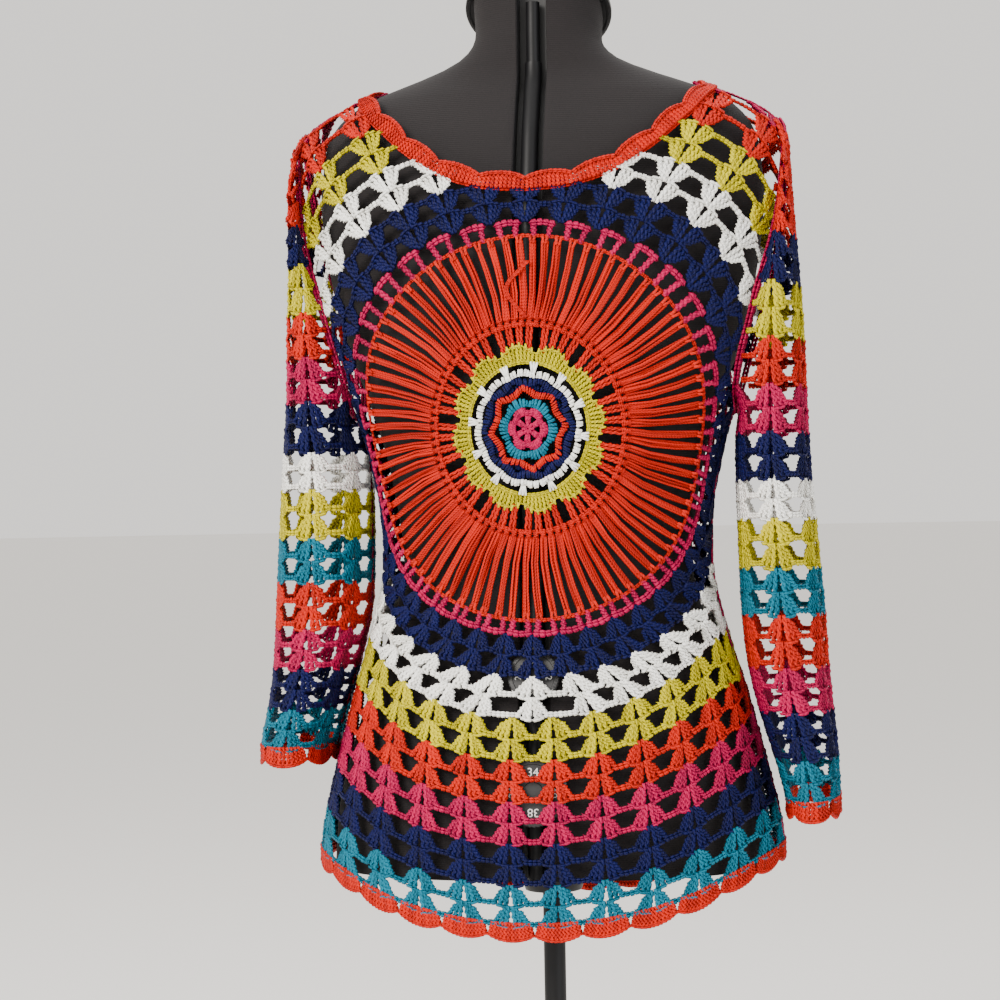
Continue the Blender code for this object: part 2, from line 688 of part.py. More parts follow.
def slot_rail(skin, look):
    """The rod that shows in the slot, standing just off the slot's floor."""
    curve = bpy.data.curves.new("slot_rail", "CURVE")
    curve.dimensions = "3D"
    curve.bevel_depth = RAIL_RADIUS
    curve.bevel_resolution = 1
    curve.use_fill_caps = True
    line = curve.splines.new("POLY")
    heights = [row.height for row in FORM if row.height < RAIL_TOP] + [RAIL_TOP]
    line.points.add(len(heights) - 1)
    for point, height in zip(line.points, heights):
        lip = skin.point(SLOT_HALF_WIDTH / skin.quarter(height), height, BACK)
        point.co = (0, lip.y + SLOT_DEPTH - RAIL_RADIUS - RAIL_CLEARANCE, lip.z, 1)
    curve.materials.append(look)
    rail = bpy.data.objects.new("slot_rail", curve)
    bpy.data.collections[COLLECTION].objects.link(rail)


def turned(name, profile, look, steps=24):
    """A solid of revolution round the pole's axis, from (radius, height) points, top to bottom."""
    bm = bmesh.new()
    verts = [bm.verts.new((radius, 0, height)) for radius, height in profile]
    for a, b in zip(verts, verts[1:]):
        bm.edges.new((a, b))
    thing = add_object(name, bm, look)
    screw = thing.modifiers.new("turn", "SCREW")
    screw.steps = screw.render_steps = steps
    screw.use_merge_vertices = True
    screw.merge_threshold = 0.00005
    screw.use_smooth_shade = True
    return thing


def dial(name, skin, height, radius, look):
    """A setting wheel that lies over the slot, square to the form's back."""
    quarter = skin.quarter(height)
    low, high = (skin.point(SLOT_HALF_WIDTH / quarter, height + step, BACK) for step in (-0.02, 0.02))
    slope = math.atan2(high.y - low.y, high.z - low.z)
    middle = (low + high) / 2
    thickness = 0.005
    outward = Vector((0, -math.cos(slope), math.sin(slope)))
    place = Vector((0, middle.y, middle.z)) + outward * (thickness / 2 + 0.0010)
    bpy.ops.mesh.primitive_cylinder_add(vertices=32, radius=radius, depth=thickness, location=place,
                                        rotation=(math.pi / 2 - slope, 0, 0))
    wheel = bpy.context.active_object
    wheel.name = wheel.data.name = name
    bpy.data.collections[COLLECTION].objects.link(wheel)
    for collection in list(wheel.users_collection):
        if collection.name != COLLECTION:
            collection.objects.unlink(wheel)
    bevel = wheel.modifiers.new("edge", "BEVEL")
    bevel.width = 0.001
    bevel.segments = 1
    wheel.data.materials.append(look)


def stand(steel):
    top = BASE_THICKNESS
    turned("base", [(0, top), (BASE_RADIUS - 0.006, top), (BASE_RADIUS, top - 0.004), (BASE_RADIUS, 0.001),
                    (BASE_RADIUS - 0.001, 0), (0, 0)], steel, 48)
    foot = top + 0.0003
    hub_top = foot + HUB_HEIGHT
    turned("pole_hub", [(0, hub_top), (POLE_RADIUS + 0.006, hub_top), (HUB_RADIUS, foot + 0.006),
                        (HUB_RADIUS, foot), (0, foot)], steel)
    collar_top = FORM_BOTTOM - 0.0003
    collar_foot = collar_top - COLLAR_HEIGHT
    turned("form_collar", [(0, collar_top), (HUB_RADIUS + 0.006, collar_top), (HUB_RADIUS, collar_foot),
                           (0, collar_foot)], steel)
    turned("pole", [(0, collar_foot - 0.0003), (POLE_RADIUS, collar_foot - 0.0003),
                    (POLE_RADIUS, hub_top + 0.0003), (0, hub_top + 0.0003)], steel)


def neck_cap(skin, look):
    """A shallow cap that lies on the neck's sloping top and stands a little proud of it all round."""
    rim = NECK_CAP_RIM
    cap = turned("neck_cap", [(0, 0.020), (rim * 0.5, 0.017), (rim * 0.92, 0.009), (rim, 0.004), (rim, 0),
                              (0, 0)], look)
    top = FORM[-1]
    lip = skin.point(SLOT_HALF_WIDTH / skin.quarter(top.height), top.height, BACK)
    outward = Vector((0, math.sin(NECK_TILT), math.cos(NECK_TILT)))
    cap.location = Vector((0, 0, lip.z + lip.y * math.tan(NECK_TILT))) + outward * SEAM_GAP
    cap.rotation_euler.x = -NECK_TILT


def clear_scene():
    for thing in list(bpy.data.objects):
        bpy.data.objects.remove(thing, do_unlink=True)
    collection = bpy.data.collections.new(COLLECTION)
    bpy.context.scene.collection.children.link(collection)


def main():
    clear_scene()
    orange = material("orange_cotton", "E8481C")
    navy = material("navy_cotton", "202A78")
    knit = material("charcoal_knit_cover", "4A4546", 0.9)
    black = material("black_plastic", "141414", 0.45)
    steel = material("black_painted_steel", "1A1A1C", 0.4)

    panel("back_panel", BACK, navy)
    panel("front_panel", FRONT, navy)
    for word, table, direction in (("left", LEFT_SLEEVE, -1), ("right", RIGHT_SLEEVE, 1)):
        sleeve = Sleeve(table, direction)
        sleeve_half(f"{word}_sleeve_back", sleeve, BACK, navy)
        sleeve_half(f"{word}_sleeve_front", sleeve, FRONT, navy)
        cuff_edging(f"{word}_cuff_edging", sleeve, orange)
    neckband(orange)
    hem_edging(orange)

    form_skin = Torso(FORM)
    dress_form(form_skin, knit)
    slot_rail(form_skin, steel)
    dial("waist_dial", form_skin, 0.150, 0.020, black)
    dial("hip_dial", form_skin, 0.066, 0.026, black)
    neck_cap(form_skin, black)
    stand(steel)


main()
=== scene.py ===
"""Looks for the crochet top on its dress form: every stitch, the form's knitted cover and its stand.

The wearer's back faces -Y and their left is at -X; +Z is up. Sizes are in metres. Heights in the tables are
above the form's lower edge, and "across" is a share of the way from a panel's middle to its side seam.
"""

import math
from collections import defaultdict, namedtuple

import bmesh
import bpy
import numpy as np
from mathutils import Matrix, Vector


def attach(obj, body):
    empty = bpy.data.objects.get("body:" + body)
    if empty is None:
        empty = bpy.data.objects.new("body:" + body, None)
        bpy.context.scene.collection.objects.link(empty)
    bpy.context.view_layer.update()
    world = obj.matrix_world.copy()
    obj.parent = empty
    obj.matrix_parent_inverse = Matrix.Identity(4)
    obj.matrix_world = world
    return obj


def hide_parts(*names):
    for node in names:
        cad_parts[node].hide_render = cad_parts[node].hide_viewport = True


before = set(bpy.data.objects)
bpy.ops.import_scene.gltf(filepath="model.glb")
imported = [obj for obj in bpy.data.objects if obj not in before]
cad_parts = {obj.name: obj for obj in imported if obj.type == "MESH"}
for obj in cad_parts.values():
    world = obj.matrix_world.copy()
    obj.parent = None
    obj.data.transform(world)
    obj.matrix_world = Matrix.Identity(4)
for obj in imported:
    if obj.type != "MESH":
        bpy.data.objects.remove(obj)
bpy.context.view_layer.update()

BACK = -1
FRONT = 1

# ---- The shapes that the solids follow too ----
FORM_BOTTOM = 0.420
ROUNDNESS = 2.3
Girth = namedtuple("Girth", "height half_width back front")
GARMENT = (
    Girth(-0.060, 0.184, 0.118, 0.122),
    Girth(-0.020, 0.182, 0.120, 0.123),
    Girth(0.031, 0.177, 0.122, 0.122),
    Girth(0.078, 0.166, 0.119, 0.118),
    Girth(0.131, 0.152, 0.111, 0.109),
    Girth(0.181, 0.137, 0.101, 0.101),
    Girth(0.236, 0.127, 0.093, 0.100),
    Girth(0.281, 0.129, 0.097, 0.108),
    Girth(0.321, 0.137, 0.104, 0.119),
    Girth(0.359, 0.150, 0.108, 0.128),
    Girth(0.401, 0.168, 0.110, 0.131),
    Girth(0.441, 0.180, 0.108, 0.125),
    Girth(0.481, 0.187, 0.104, 0.114),
    Girth(0.516, 0.189, 0.098, 0.102),
    Girth(0.541, 0.189, 0.090, 0.091),
    Girth(0.560, 0.187, 0.081, 0.081),
    Girth(0.571, 0.182, 0.075, 0.074),
    Girth(0.581, 0.169, 0.069, 0.067),
    Girth(0.590, 0.150, 0.063, 0.061),
    Girth(0.597, 0.132, 0.058, 0.056),
    Girth(0.603, 0.115, 0.053, 0.051),
    Girth(0.609, 0.098, 0.048, 0.046),
)
FORM = (
    Girth(0.000, 0.170, 0.109, 0.110),
    Girth(0.050, 0.165, 0.111, 0.110),
    Girth(0.100, 0.152, 0.106, 0.103),
    Girth(0.150, 0.135, 0.096, 0.093),
    Girth(0.200, 0.118, 0.085, 0.086),
    Girth(0.236, 0.112, 0.080, 0.086),
    Girth(0.280, 0.117, 0.083, 0.094),
    Girth(0.320, 0.125, 0.091, 0.107),
    Girth(0.359, 0.137, 0.097, 0.118),
    Girth(0.401, 0.153, 0.100, 0.122),
    Girth(0.441, 0.163, 0.098, 0.115),
    Girth(0.481, 0.170, 0.094, 0.103),
    Girth(0.516, 0.173, 0.088, 0.090),
    Girth(0.541, 0.171, 0.080, 0.079),
    Girth(0.560, 0.168, 0.073, 0.071),
    Girth(0.572, 0.162, 0.067, 0.065),
    Girth(0.583, 0.152, 0.061, 0.059),
    Girth(0.592, 0.138, 0.056, 0.054),
    Girth(0.5975, 0.126, 0.0525, 0.051),
    Girth(0.604, 0.108, 0.049, 0.048),
    Girth(0.613, 0.083, 0.047, 0.047),
    Girth(0.624, 0.064, 0.047, 0.047),
    Girth(0.637, 0.053, 0.047, 0.047),
    Girth(0.655, 0.049, 0.046, 0.046),
    Girth(0.685, 0.050, 0.047, 0.047),
)
Edge = namedtuple("Edge", "across height")
NECKLINE = (
    Edge(0.00, 0.515),
    Edge(0.14, 0.518),
    Edge(0.27, 0.528),
    Edge(0.40, 0.547),
    Edge(0.52, 0.567),
    Edge(0.68, 0.584),
    Edge(1.00, 0.599),
)
ARMHOLE = (
    Edge(1.000, 0.347),
    Edge(0.920, 0.352),
    Edge(0.850, 0.360),
    Edge(0.795, 0.375),
    Edge(0.765, 0.400),
    Edge(0.775, 0.440),
    Edge(0.825, 0.480),
    Edge(0.870, 0.517),
    Edge(0.910, 0.545),
    Edge(0.950, 0.562),
    Edge(1.000, 0.571),
)
UNDERARM = ARMHOLE[0].height
SLEEVE_ROUNDNESS = 2.2
SLEEVE_STANDOFF = 0.0028
SLEEVE_BLEND = 0.012           # the height over which a sleeve's tube opens along the armhole
SLEEVE_TOP = 0.556
CUFF_DEPTH = 0.010
Tube = namedtuple("Tube", "height outer inner half_depth")
LEFT_SLEEVE = (
    Tube(0.0805, 0.226, 0.172, 0.066),
    Tube(0.098, 0.224, 0.170, 0.065),
    Tube(0.133, 0.217, 0.160, 0.062),
    Tube(0.164, 0.214, 0.151, 0.060),
    Tube(0.203, 0.212, 0.142, 0.060),
    Tube(0.265, 0.208, 0.140, 0.060),
    Tube(0.320, 0.204, 0.142, 0.060),
    Tube(0.347, 0.201, 0.150, 0.061),
    Tube(0.414, 0.198, 0.160, 0.064),
    Tube(0.460, 0.194, 0.170, 0.064),
    Tube(0.515, 0.192, 0.180, 0.056),
    Tube(0.556, 0.191, 0.186, 0.030),
)
RIGHT_SLEEVE = (
    Tube(0.0376, 0.223, 0.184, 0.068),
    Tube(0.055, 0.222, 0.182, 0.067),
    Tube(0.084, 0.221, 0.174, 0.064),
    Tube(0.117, 0.218, 0.164, 0.062),
    Tube(0.152, 0.215, 0.156, 0.060),
    Tube(0.190, 0.213, 0.152, 0.060),
    Tube(0.250, 0.208, 0.150, 0.060),
    Tube(0.320, 0.203, 0.149, 0.060),
    Tube(0.347, 0.202, 0.152, 0.061),
    Tube(0.414, 0.200, 0.160, 0.064),
    Tube(0.460, 0.197, 0.170, 0.064),
    Tube(0.515, 0.193, 0.180, 0.056),
    Tube(0.556, 0.191, 0.186, 0.030),
)

# ---- The plan of the crochet ----
MEDALLION_HEIGHT = 0.334       # the height of its middle
MEDALLION_NARROWER = 0.06      # how much narrower and longer than a circle its middle hangs
MEDALLION_LONGER = 0.04
ROUND_START = 0.155            # the radius that the first shell round starts from
ROUND_DEPTH = 0.0152
ROUNDS = 14
YOKE_START = 0.006             # toward the shoulders the rounds start further out, and are deeper
YOKE_DEPTH = 0.0026
SIDE_STRETCH = 0.0073          # toward the side seams each round is drawn out by this, up to a limit
SIDE_STRETCH_LIMIT = 0.037
SIDE_STRETCH_FROM = 0.55
UPPER_COLUMN = math.radians(10)
UPPER_COLUMNS = 9              # the shell columns on each side of the one at the top
LOWER_COLUMN = math.radians(7.5)
LOWER_COLUMNS = 11             # and on each side of the one at the bottom
HEM_COLUMNS = 14
COLUMNS_TURN = (1.0, 4.5)      # the rounds over which the lower columns turn from radial to upright
TURN_FADE = math.radians(15)   # and the angle over which that fades out, toward the sides
HOLE_SHARE = 0.27              # how far from a split column's middle its two halves part, in column steps
HEM_MIDDLE = 0.12
SPLIT_ROUND = 4                # the column under the medallion is two columns from this round on
SHELL_FOOT = 0.10              # how far the shells' feet reach back over the round before
NECK_TUCK = 0.0040             # how far the heads of the stitches reach behind the neckband
SHELL_MARGIN = 0.006           # how far from a seam the shells and the bars end, as a share of the way across
BAR_MARGIN = 0.004
PANEL_YARNS = ("navy", "white", "yellow", "orange", "pink", "navy", "teal")
SLEEVE_COLUMNS = 8
SLEEVE_NARROWEST = 0.006       # a column that is narrower than this holds no shell
CAP_RISE = 0.016               # how far the sleeve's last round goes above its tube, over the shoulder
CAP_LEAN = 0.45                # and how far it leans in, for each metre up
CAP_CLOSES = 0.030             # how far above the tube its two halves would meet

# The colours of both sleeves from the shoulder down, the heights where each begins and the last one ends, and
# how many rounds have the first colour. Every other colour has two.
SLEEVE_YARNS = ("orange", "navy", "yellow", "orange", "pink", "navy", "white", "yellow", "teal", "orange",
                "pink", "navy", "teal")
LEFT_BANDS = (0.5677, 0.493, 0.4616, 0.4245, 0.3907, 0.3569, 0.3182, 0.2892, 0.2521, 0.2183, 0.1828, 0.1522,
              0.1216, 0.0910)
RIGHT_BANDS = (0.567, 0.477, 0.4394, 0.3983, 0.3627, 0.3272, 0.2917, 0.2617, 0.2243, 0.1888, 0.1495, 0.1159,
               0.0804, 0.0480)
LEFT_CAP_ROUNDS = 4
RIGHT_CAP_ROUNDS = 5


def monotone(xs, ys, at):
    """A cubic curve through the points that never overshoots them, read at the places given."""
    xs = np.array(xs, float)
    ys = np.array(ys, float)
    at = np.clip(np.asarray(at, float), xs[0], xs[-1])
    width = np.diff(xs)
    slope = np.diff(ys) / width
    tangent = np.concatenate([slope[:1], (slope[:-1] + slope[1:]) / 2, slope[-1:]])
    turns = slope[:-1] * slope[1:] <= 0
    tangent[1:-1][turns] = 0
    limit = 3 * np.minimum(np.abs(slope[:-1]), np.abs(slope[1:]))
    tangent[1:-1] = np.clip(tangent[1:-1], -limit, limit)
    i = np.clip(np.searchsorted(xs, at, side="right") - 1, 0, len(width) - 1)
    f = (at - xs[i]) / width[i]
    return ((2 * f**3 - 3 * f**2 + 1) * ys[i] + (f**3 - 2 * f**2 + f) * width[i] * tangent[i]
            + (3 * f**2 - 2 * f**3) * ys[i + 1] + (f**3 - f**2) * width[i] * tangent[i + 1])


def column_of(table, field, key="height"):
    """Two columns of a table: what it is read by, and a field."""
    return [getattr(row, key) for row in table], [getattr(row, field) for row in table]


ARMHOLE_HEIGHTS = np.linspace(ARMHOLE[0].height, ARMHOLE[-1].height, 400)
ARMHOLE_ACROSS = monotone(*column_of(ARMHOLE, "across"), ARMHOLE_HEIGHTS)
NECKLINE_ACROSS = np.linspace(0, 1, 400)
NECKLINE_HEIGHTS = monotone(*column_of(NECKLINE, "height", "across"), NECKLINE_ACROSS)


def neckline(across):
    """The height of the neckline, at a place across the panel."""
    return float(np.interp(abs(across), NECKLINE_ACROSS, NECKLINE_HEIGHTS))


def armhole(height):
    """How far across the panel reaches at a height."""
    if ARMHOLE[0].height < height < ARMHOLE[-1].height:
        return float(np.interp(height, ARMHOLE_HEIGHTS, ARMHOLE_ACROSS))
    return 1.0


# The way out of the cloth is measured between places this far to each side, across and up. Past SIDE_FROM the
# next place across lies on the other panel.
SKIN_STEPS, SIDE_STEP, SIDE_FROM = (0.012, 0.003), 0.01, 0.985
SLEEVE_STEPS = (0.12, 0.004)


class Torso:
    """A torso-shaped skin, read by a place across it (0 middle, 1 side) and a height."""

    def __init__(self, table):
        self.heights = np.linspace(table[0].height, table[-1].height, 180)
        turn = np.linspace(0, math.pi / 2, 240)
        self.across = np.linspace(0, 1, 61)
        width = monotone(*column_of(table, "half_width"), self.heights)
        self.arc = np.zeros(len(self.heights))
        self.places = {}
        for side, field in ((BACK, "back"), (FRONT, "front")):
            depth = monotone(*column_of(table, field), self.heights)
            grid = np.zeros((len(self.heights), len(self.across), 2))
            for row in range(len(self.heights)):
                x = width[row] * np.sin(turn) ** (2 / ROUNDNESS)
                y = depth[row] * np.cos(turn) ** (2 / ROUNDNESS)
                run = np.concatenate([[0], np.cumsum(np.hypot(np.diff(x), np.diff(y)))])
                grid[row, :, 0] = np.interp(self.across * run[-1], run, x)
                grid[row, :, 1] = np.interp(self.across * run[-1], run, y)
                if side == BACK:
                    self.arc[row] = run[-1]
            self.places[side] = grid

    def quarter(self, height):
        """The way round from the middle of the back to the side, at a height."""
        return float(np.interp(height, self.heights, self.arc))

    def point(self, across, height, side):
        row = (height - self.heights[0]) / (self.heights[1] - self.heights[0])
        row = min(max(row, 0), len(self.heights) - 1.001)
        column = min(abs(across), 1.0) * (len(self.across) - 1)
        r, c = int(row), min(int(column), len(self.across) - 2)
        fr, fc = row - r, column - c
        grid = self.places[side]
        near = grid[r, c] * (1 - fc) + grid[r, c + 1] * fc
        far = grid[r + 1, c] * (1 - fc) + grid[r + 1, c + 1] * fc
        x, y = near * (1 - fr) + far * fr
        return Vector((math.copysign(x, across), side * y, height + FORM_BOTTOM))

    def spot(self, across, height, side):
        """A place on the skin and the way straight out of it."""
        beside, above = SKIN_STEPS
        place = self.point(across, height, side)
        near, far = (self.point(across + step, height, side) for step in (-beside, beside))
        if abs(across) > SIDE_FROM:
            near, far = (Vector((place.x, place.y + step, place.z)) for step in (-SIDE_STEP, SIDE_STEP))
        low, high = (self.point(across, height + step, side) for step in (-above, above))
        outward = (far - near).cross(high - low).normalized()
        if outward.dot(Vector((place.x, place.y, 0))) < 0:
            outward = -outward
        return place, outward


SKIN = Torso(GARMENT)
FORM_SKIN = Torso(FORM)


def ease(x):
    """A smooth step from 0 to 1."""
    x = min(max(x, 0.0), 1.0)
    return x * x * (3 - 2 * x)


def round_radius(level, turn, across):
    """How far a round lies from the medallion's middle. turn is measured from straight up."""
    upper = max(math.cos(turn), 0.0)
    corner = math.sin(2 * turn) ** 2 if upper > 0 else 0.0
    stretch = max(0.0, (across - SIDE_STRETCH_FROM) / (1 - SIDE_STRETCH_FROM)) ** 2 * (1 - ease(2 * upper))
    return (ROUND_START + YOKE_START * corner + level * (ROUND_DEPTH + YOKE_DEPTH * corner)
            + min(SIDE_STRETCH * max(level, 0), SIDE_STRETCH_LIMIT) * stretch)


def hem_place(below):
    """Where a lower column meets the hem, across the panel; below is its angle from straight down."""
    step = below / LOWER_COLUMN
    edge = 0.5 - HOLE_SHARE
    if step < edge:
        step = float(np.interp(step, (0, HEM_MIDDLE, edge), (-0.5, HOLE_SHARE - 0.5, edge)))
    return (2 * step + 1) / HEM_COLUMNS


def panel_place(turn, level):
    """Where the column that leaves the medallion at an angle crosses a round: (across, height)."""
    below = math.pi - abs(turn)
    settled = ease((level - COLUMNS_TURN[0]) / (COLUMNS_TURN[1] - COLUMNS_TURN[0]))
    settled *= ease((math.pi / 2 - below) / TURN_FADE)
    radius = ROUND_START + level * ROUND_DEPTH
    s, t = radius * math.sin(abs(turn)), radius * math.cos(turn)
    for _ in range(8):
        quarter = SKIN.quarter(t + MEDALLION_HEIGHT)
        radius = round_radius(level, turn, min(s / quarter, 1.0))
        s, t = radius * math.sin(abs(turn)), radius * math.cos(turn)
        if settled > 0:
            s = s * (1 - settled) + hem_place(below) * quarter * settled
            t = -math.sqrt(max(radius**2 - s**2, 0.0))
    return math.copysign(s / SKIN.quarter(t + MEDALLION_HEIGHT), turn), t + MEDALLION_HEIGHT


def medallion_place(turn, radius):
    """A place on the medallion. Its middle is drawn a little longer than wide, as the work hangs."""
    drawn = max(1 - (radius / ROUND_START)**2, 0.0)
    s = radius * math.sin(turn) * (1 - MEDALLION_NARROWER * drawn)
    t = radius * math.cos(turn) * (1 + MEDALLION_LONGER * drawn)
    return s / SKIN.quarter(t + MEDALLION_HEIGHT), t + MEDALLION_HEIGHT


def inside_panel(across, height, margin):
    """Whether a place is inside the panel's side seam, armhole and shoulder, or just under the neckband."""
    return abs(across) <= armhole(height) - margin and height <= neckline(across) + NECK_TUCK


class Sleeve:
    """One sleeve: a flat hanging tube that opens into the armhole above the underarm."""

    def __init__(self, table, direction, bands, cap_rounds):
        self.direction = direction
        self.bands = bands
        self.cap_rounds = cap_rounds
        self.cuff = table[0].height + CUFF_DEPTH
        self.heights = np.linspace(table[0].height, SLEEVE_TOP, 160)
        self.table = {field: monotone(*column_of(table, field), self.heights)
                      for field in ("outer", "inner", "half_depth")}
        self.sections = {side: [self.outline(height, side) for height in self.heights]
                         for side in (BACK, FRONT)}
        self.full = self.outline(UNDERARM, BACK)[0][-1]

    def outline(self, height, side):
        """The half section from the outer edge inward: the way run, x and depth at each step."""
        outer, inner, half_depth = (float(np.interp(height, self.heights, self.table[f]))
                                    for f in ("outer", "inner", "half_depth"))
        start_y = 0.0
        if height > UNDERARM:
            edge = SKIN.point(armhole(height), height, side)
            blend = ease((height - UNDERARM) / SLEEVE_BLEND)
            inner = (edge.x + SLEEVE_STANDOFF) * blend + inner * (1 - blend)
            start_y = abs(edge.y)
        depth = max(half_depth, start_y * 1.02)
        start = math.asin((start_y / depth) ** (SLEEVE_ROUNDNESS / 2))
        reach = math.cos(start) ** (2 / SLEEVE_ROUNDNESS)
        half_width = (outer - inner) / (1 + reach)
        turn = np.linspace(math.pi, start, 60)
        cosine = np.cos(turn)
        x = outer - half_width - half_width * np.sign(cosine) * np.abs(cosine) ** (2 / SLEEVE_ROUNDNESS)
        y = depth * np.abs(np.sin(turn)) ** (2 / SLEEVE_ROUNDNESS)
        run = np.concatenate([[0], np.cumsum(np.hypot(np.diff(x), np.diff(y)))])
        return run, x, y

    def reach(self, along, height, run):
        return along * (self.full if height > UNDERARM else run[-1])

    def point(self, column, height):
        """A place on the sleeve. Columns run from 0 at its outer edge, by the back, to 4 underarm, and by the
        front to 8."""
        column %= SLEEVE_COLUMNS
        half = SLEEVE_COLUMNS / 2
        side = BACK if column <= half else FRONT
        along = column / half if side == BACK else (SLEEVE_COLUMNS - column) / half
        row = (height - self.heights[0]) / (self.heights[1] - self.heights[0])
        row = min(max(row, 0.0), len(self.heights) - 1.001)
        low = int(row)
        places = []
        for i in (low, low + 1):
            run, x, y = self.sections[side][i]
            reach = min(self.reach(along, self.heights[i], run), run[-1])
            places.append(Vector((self.direction * float(np.interp(reach, run, x)),
                                  side * float(np.interp(reach, run, y)), 0)))
        place = places[0].lerp(places[1], row - low)
        past = max(height - SLEEVE_TOP, 0.0)
        place.x -= self.direction * past * CAP_LEAN
        place.y *= 1 - past / CAP_CLOSES
        place.z = height + FORM_BOTTOM
        return place

    def holds(self, column, height):
        """Whether a place is still on the sleeve, and not across the armhole."""
        column %= SLEEVE_COLUMNS
        if height > SLEEVE_TOP + CAP_RISE:
            return False
        if height <= UNDERARM:
            return True
        side = BACK if column <= SLEEVE_COLUMNS / 2 else FRONT
        along = min(column, SLEEVE_COLUMNS - column) / (SLEEVE_COLUMNS / 2)
        run = self.outline(height, side)[0]
        return along * self.full < run[-1] - 0.001

    def spot(self, column, height):
        beside, above = SLEEVE_STEPS
        place = self.point(column, height)
        near, far = (self.point(column + step, height) for step in (-beside, beside))
        low, high = (self.point(column, height + step) for step in (-above, above))
        outward = (far - near).cross(high - low).normalized()
        middle = (self.point(2, height) + self.point(6, height)) / 2
        if outward.dot(place - middle) < 0:
            outward = -outward
        return place, outward


# ---- Materials ----

def linear(colour):
    """An sRGB hex colour as linear red, green, blue and alpha."""
    parts = [int(colour[i:i + 2], 16) / 255 for i in (0, 2, 4)]
    return (*[c / 12.92 if c <= 0.04045 else ((c + 0.055) / 1.055) ** 2.4 for c in parts], 1)


def add_node(tree, kind, inputs=None, **settings):
    """Add a node. inputs holds a value or a socket for each input, by its name or number. A setting in
    capitals is an input's value too, and any other is the node's own."""
    node = tree.nodes.new(kind)
    for name, value in settings.items():
        if name[0].isupper():
            node.inputs[name.replace("_", " ")].default_value = value
        else:
            setattr(node, name, value)
    for name, value in (inputs or {}).items():
        if isinstance(value, bpy.types.NodeSocket):
            tree.links.new(value, node.inputs[name])
        else:
            node.inputs[name].default_value = value
    return node


def new_material(name, **shader):
    """A material, its tree and its shader, whose inputs are given by name."""
    made = bpy.data.materials.new(name)
    made.use_nodes = True
    tree = made.node_tree
    principled = tree.nodes["Principled BSDF"]
    for key, value in shader.items():
        principled.inputs[key.replace("_", " ")].default_value = value
    return made, tree, principled


def surface(tree, shader, tone, deep, light, relief=None, strength=0.0, distance=0.0):
    """Colour a material between a deep and a light shade by a tone, and raise its relief."""
    colour = add_node(tree, "ShaderNodeMix", {0: tone, 6: linear(deep), 7: linear(light)}, data_type="RGBA")
    tree.links.new(colour.outputs[2], shader.inputs["Base Color"])
    if relief:
        bump = add_node(tree, "ShaderNodeBump", {"Height": relief}, Strength=strength, Distance=distance)
        tree.links.new(bump.outputs[0], shader.inputs["Normal"])


PLY_TURN = 2.4                       # how far apart the plies of the yarn turn, in millimetres


def cotton_yarn(name, light, deep):
    """Mercerised cotton, plied: smooth and faintly glossy, with painted shade between the plies and under
    each strand.
    """
    made, tree, shader = new_material(name, Roughness=0.60, Sheen_Weight=0.02, Sheen_Roughness=0.4,
                                      Sheen_Tint=linear(light), Specular_IOR_Level=0.18)
    place = add_node(tree, "ShaderNodeUVMap", uv_map="yarn")
    split = add_node(tree, "ShaderNodeSeparateXYZ", {"Vector": place.outputs[0]})
    shade = add_node(tree, "ShaderNodeAttribute", attribute_name="shade")
    # Two plies show round the yarn, in relief and with painted shade in the creases between them. The map's
    # length is in centimetres.
    around = add_node(tree, "ShaderNodeMath", {0: split.outputs["X"], 1: math.tau * 2}, operation="MULTIPLY")
    along = add_node(tree, "ShaderNodeMath", operation="MULTIPLY_ADD",
                     inputs={0: split.outputs["Y"], 1: math.tau * 10 / PLY_TURN, 2: around.outputs[0]})
    wave = add_node(tree, "ShaderNodeMath", {0: along.outputs[0]}, operation="SINE")
    ply_and_crease_shade = add_node(tree, "ShaderNodeMapRange", {"Value": wave.outputs[0]}, From_Min=-1, From_Max=1)
    # Fibres 0.7 mm long.
    body = add_node(tree, "ShaderNodeTexCoord")
    fuzz = add_node(tree, "ShaderNodeTexNoise", {"Vector": body.outputs["Object"]}, Scale=1400, Detail=2)
    # Painted shade: each strand is lighter on its outward face and darker on its inward face, where its
    # neighbours shade it.
    turn = add_node(tree, "ShaderNodeMath", {0: split.outputs["X"], 1: math.tau}, operation="MULTIPLY")
    painted_underside_shade = add_node(tree, "ShaderNodeMath", {0: turn.outputs[0]}, operation="SINE")
    tone = shade.outputs["Fac"]
    for source, weight in ((ply_and_crease_shade, 0.42), (fuzz, 0.35), (painted_underside_shade, 0.22)):
        part = add_node(tree, "ShaderNodeMath", {0: source.outputs[0], 1: weight, 2: tone},
                        operation="MULTIPLY_ADD")
        tone = part.outputs[0]
    ramp = add_node(tree, "ShaderNodeMapRange", {"Value": tone}, From_Min=0.10, From_Max=0.95)
    height = add_node(tree, "ShaderNodeMath", {0: fuzz.outputs[0], 1: 0.5, 2: ply_and_crease_shade.outputs[0]},
                      operation="MULTIPLY_ADD")
    surface(tree, shader, ramp.outputs[0], deep, light, height.outputs[0], 0.7, 0.0006)
    return made


YARNS = {
    "orange": cotton_yarn("orange_mercerised_cotton", "C81800", "640700"),
    "yellow": cotton_yarn("chartreuse_mercerised_cotton", "C8BC00", "625800"),
    "white": cotton_yarn("white_mercerised_cotton", "FDFDF8", "B4B2AA"),
    "navy": cotton_yarn("navy_mercerised_cotton", "040A44", "010218"),
    "pink": cotton_yarn("fuchsia_mercerised_cotton", "B6004A", "52001E"),
    "teal": cotton_yarn("teal_mercerised_cotton", "006C84", "003442"),
}


COURSE = 0.0016                      # how far apart the courses of the form's cover run


